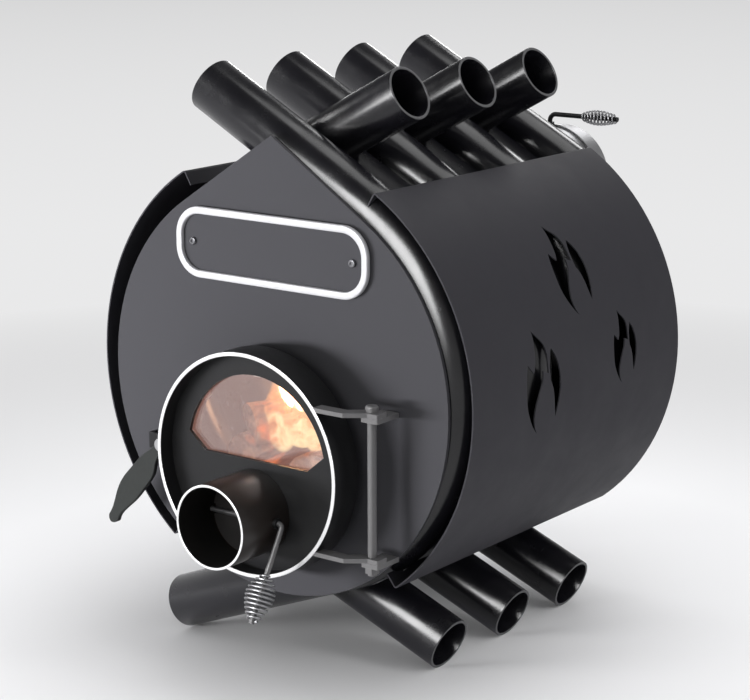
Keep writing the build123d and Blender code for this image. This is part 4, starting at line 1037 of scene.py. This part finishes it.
class STOVE_OT_studio(bpy.types.Operator):
    """Pale floor, soft boxes, world and the camera at the picture's angle"""

    bl_idname = "stove.studio"
    bl_label = "Studio"

    def soft_box(self, name, place, size, energy, rays):
        """A lamp aimed at the stove; rays says which rays meet it: diffuse, glossy or both."""
        light = bpy.data.lights.new(name, "AREA")
        light.shape = "RECTANGLE"
        light.size, light.size_y = size
        light.energy = energy
        lamp = added(name, light)
        lamp.visible_camera = False
        lamp.visible_diffuse = rays != "glossy"
        lamp.visible_glossy = rays != "diffuse"
        lamp.location = place
        ahead = Vector(LAMP_AIM) - Vector(place)
        lamp.rotation_euler = ahead.to_track_quat("-Z", "Y").to_euler()

    def fire_light(self):
        """Glow of the fire, above the front of the logs."""
        light = bpy.data.lights.new("fire_light", "POINT")
        light.energy = GLOW_POWER
        light.color = GLOW_COLOUR
        light.shadow_soft_size = GLOW_RADIUS
        added("fire_light", light).location = (GLOW_X, at_front(GLOW_DEPTH_MM), GLOW_Z)

    def floor(self, studio):
        """Floor that takes the stove's shadow and turns into the plain backdrop further out."""
        only(None)
        bpy.ops.mesh.primitive_plane_add(size=1, location=(0, 0, 0))
        floor = bpy.context.active_object
        floor.scale = (FLOOR_SIZE, FLOOR_SIZE, 1)
        floor = started("studio_floor")
        paint, tree, shader, place = new_finish("Studio floor")
        away = wired(tree, "ShaderNodeVectorMath", [(0, place)], operation="LENGTH")
        distance = away.outputs["Value"]
        far = ranged(tree, distance, *FLOOR_FADE)
        surface(tree, shader,
                {"Base Color": mixed(tree, far, studio.floor, shaded(studio.floor, FLOOR_FAR)),
                 "Roughness": 0.9,
                 "Specular IOR Level": 0.2})
        # The backdrop's tone darkens further out: painted falloff of the studio light.
        tone = mixed(tree, ranged(tree, distance, *BACKDROP_FADE), studio.backdrop,
                     shaded(studio.backdrop, BACKDROP_FAR))
        seen = ray_is(tree, "Is Camera Ray", "Is Glossy Ray", "Is Transmission Ray")
        plain = wired(tree, "ShaderNodeEmission", [("Color", tone), ("Strength", 1.0)])
        blend = wired(tree, "ShaderNodeMixShader",
                      [(0, maths(tree, "MULTIPLY", seen, far)), (1, shader.outputs["BSDF"]),
                       (2, plain.outputs[0])])
        out = next(n for n in tree.nodes if n.type == "OUTPUT_MATERIAL")
        tree.links.new(blend.outputs[0], out.inputs["Surface"])
        floor.data.materials.append(paint)

    def world(self, studio):
        """Plain light from all round, weaker from the front, and dark overhead in reflections."""
        world = bpy.data.worlds.new("Studio")
        world.use_nodes = True
        bpy.context.scene.world = world
        tree = world.node_tree
        back = next(n for n in tree.nodes if n.type == "BACKGROUND")
        back.inputs["Color"].default_value = (*studio.backdrop, 1)
        look = wired(tree, "ShaderNodeNewGeometry")
        split = wired(tree, "ShaderNodeSeparateXYZ", [("Vector", look.outputs["Incoming"])])
        height = maths(tree, "MULTIPLY", split.outputs["Z"], -1.0)
        above = maths(tree, "MULTIPLY", ranged(tree, height, 0.0, 0.9, 0.5, 1.35), studio.room)
        front = ranged(tree, split.outputs["Y"], -0.1, 0.75, 1.0, studio.front_share)
        sky = ranged(tree, height, 0.12, 0.55, 0.75, 0.10)
        room = mixed(tree, ray_is(tree, "Is Glossy Ray"), maths(tree, "MULTIPLY", above, front),
                     sky, VALUE_MIX)
        seen = ray_is(tree, "Is Camera Ray", "Is Transmission Ray")
        tree.links.new(mixed(tree, seen, room, 1.0, VALUE_MIX), back.inputs["Strength"])

    def camera(self, studio):
        """Camera at the picture's angle."""
        yaw, pitch, roll = (math.radians(turn) for turn in CAMERA_TURN)
        ahead = Vector((-math.sin(yaw) * math.cos(pitch), math.cos(yaw) * math.cos(pitch),
                        math.sin(pitch)))
        right = Vector((math.cos(yaw), math.sin(yaw), 0))
        up = right.cross(ahead)
        across = right * math.cos(roll) + up * math.sin(roll)
        upward = up * math.cos(roll) - right * math.sin(roll)
        camera = bpy.data.cameras.new("camera")
        camera.lens = studio.lens
        camera.sensor_width = CAMERA_SENSOR_MM
        camera.clip_end = CAMERA_REACH
        eye = added("camera", camera)
        eye.matrix_world = Matrix((
            (across.x, upward.x, -ahead.x, CAMERA_X),
            (across.y, upward.y, -ahead.y, at_front(CAMERA_DEPTH_MM)),
            (across.z, upward.z, -ahead.z, CAMERA_Z),
            (0, 0, 0, 1)))
        bpy.context.scene.camera = eye

    def execute(self, context):
        studio = context.scene.stove_studio
        self.floor(studio)
        self.world(studio)
        for name, place, size, setting, level, rays in SOFT_BOXES:
            self.soft_box(name, place, size, getattr(studio, setting) * level, rays)
        self.fire_light()
        self.camera(studio)
        context.scene.view_settings.view_transform = "Standard"
        return {"FINISHED"}


class STOVE_PT_panel(bpy.types.Panel):
    """Builds the stove piece by piece"""

    bl_label = "Convection stove"
    bl_idname = "STOVE_PT_panel"
    bl_space_type = "VIEW_3D"
    bl_region_type = "UI"
    bl_category = "Stove"

    def draw(self, context):
        for step in STEPS:
            self.layout.operator(step.bl_idname)
        for name in GROUPS:
            group = getattr(context.scene, name)
            box = self.layout.box()
            for key in group.__annotations__:
                box.prop(group, key)


STEPS = (STOVE_OT_studio, STOVE_OT_tubes, STOVE_OT_rings, STOVE_OT_nameplate, STOVE_OT_grips,
         STOVE_OT_seal, STOVE_OT_fire, STOVE_OT_finishes)
GROUPS = {"stove_sizes": StoveSizes, "stove_finishes": StoveFinishes, "stove_studio": StoveStudio}
CLASSES = (*GROUPS.values(), *STEPS, STOVE_PT_panel)


def register():
    """Registers the classes and puts the settings on the scene."""
    for kind in CLASSES:
        bpy.utils.register_class(kind)
    for name, group in GROUPS.items():
        setattr(bpy.types.Scene, name, PointerProperty(type=group))


def unregister():
    """Takes the settings and classes away again."""
    for name in GROUPS:
        delattr(bpy.types.Scene, name)
    for kind in reversed(CLASSES):
        bpy.utils.unregister_class(kind)


def main():
    """Builds everything in order."""
    register()
    make_paints(bpy.context.scene.stove_finishes)
    bpy.ops.stove.studio()
    bpy.ops.stove.tubes()
    bpy.ops.stove.rings()
    bpy.ops.stove.nameplate()
    bpy.ops.stove.grips()
    bpy.ops.stove.seal()
    if bpy.context.scene.stove_finishes.fire:
        bpy.ops.stove.fire()
    bpy.ops.stove.finishes()


if __name__ == "__main__":
    main()
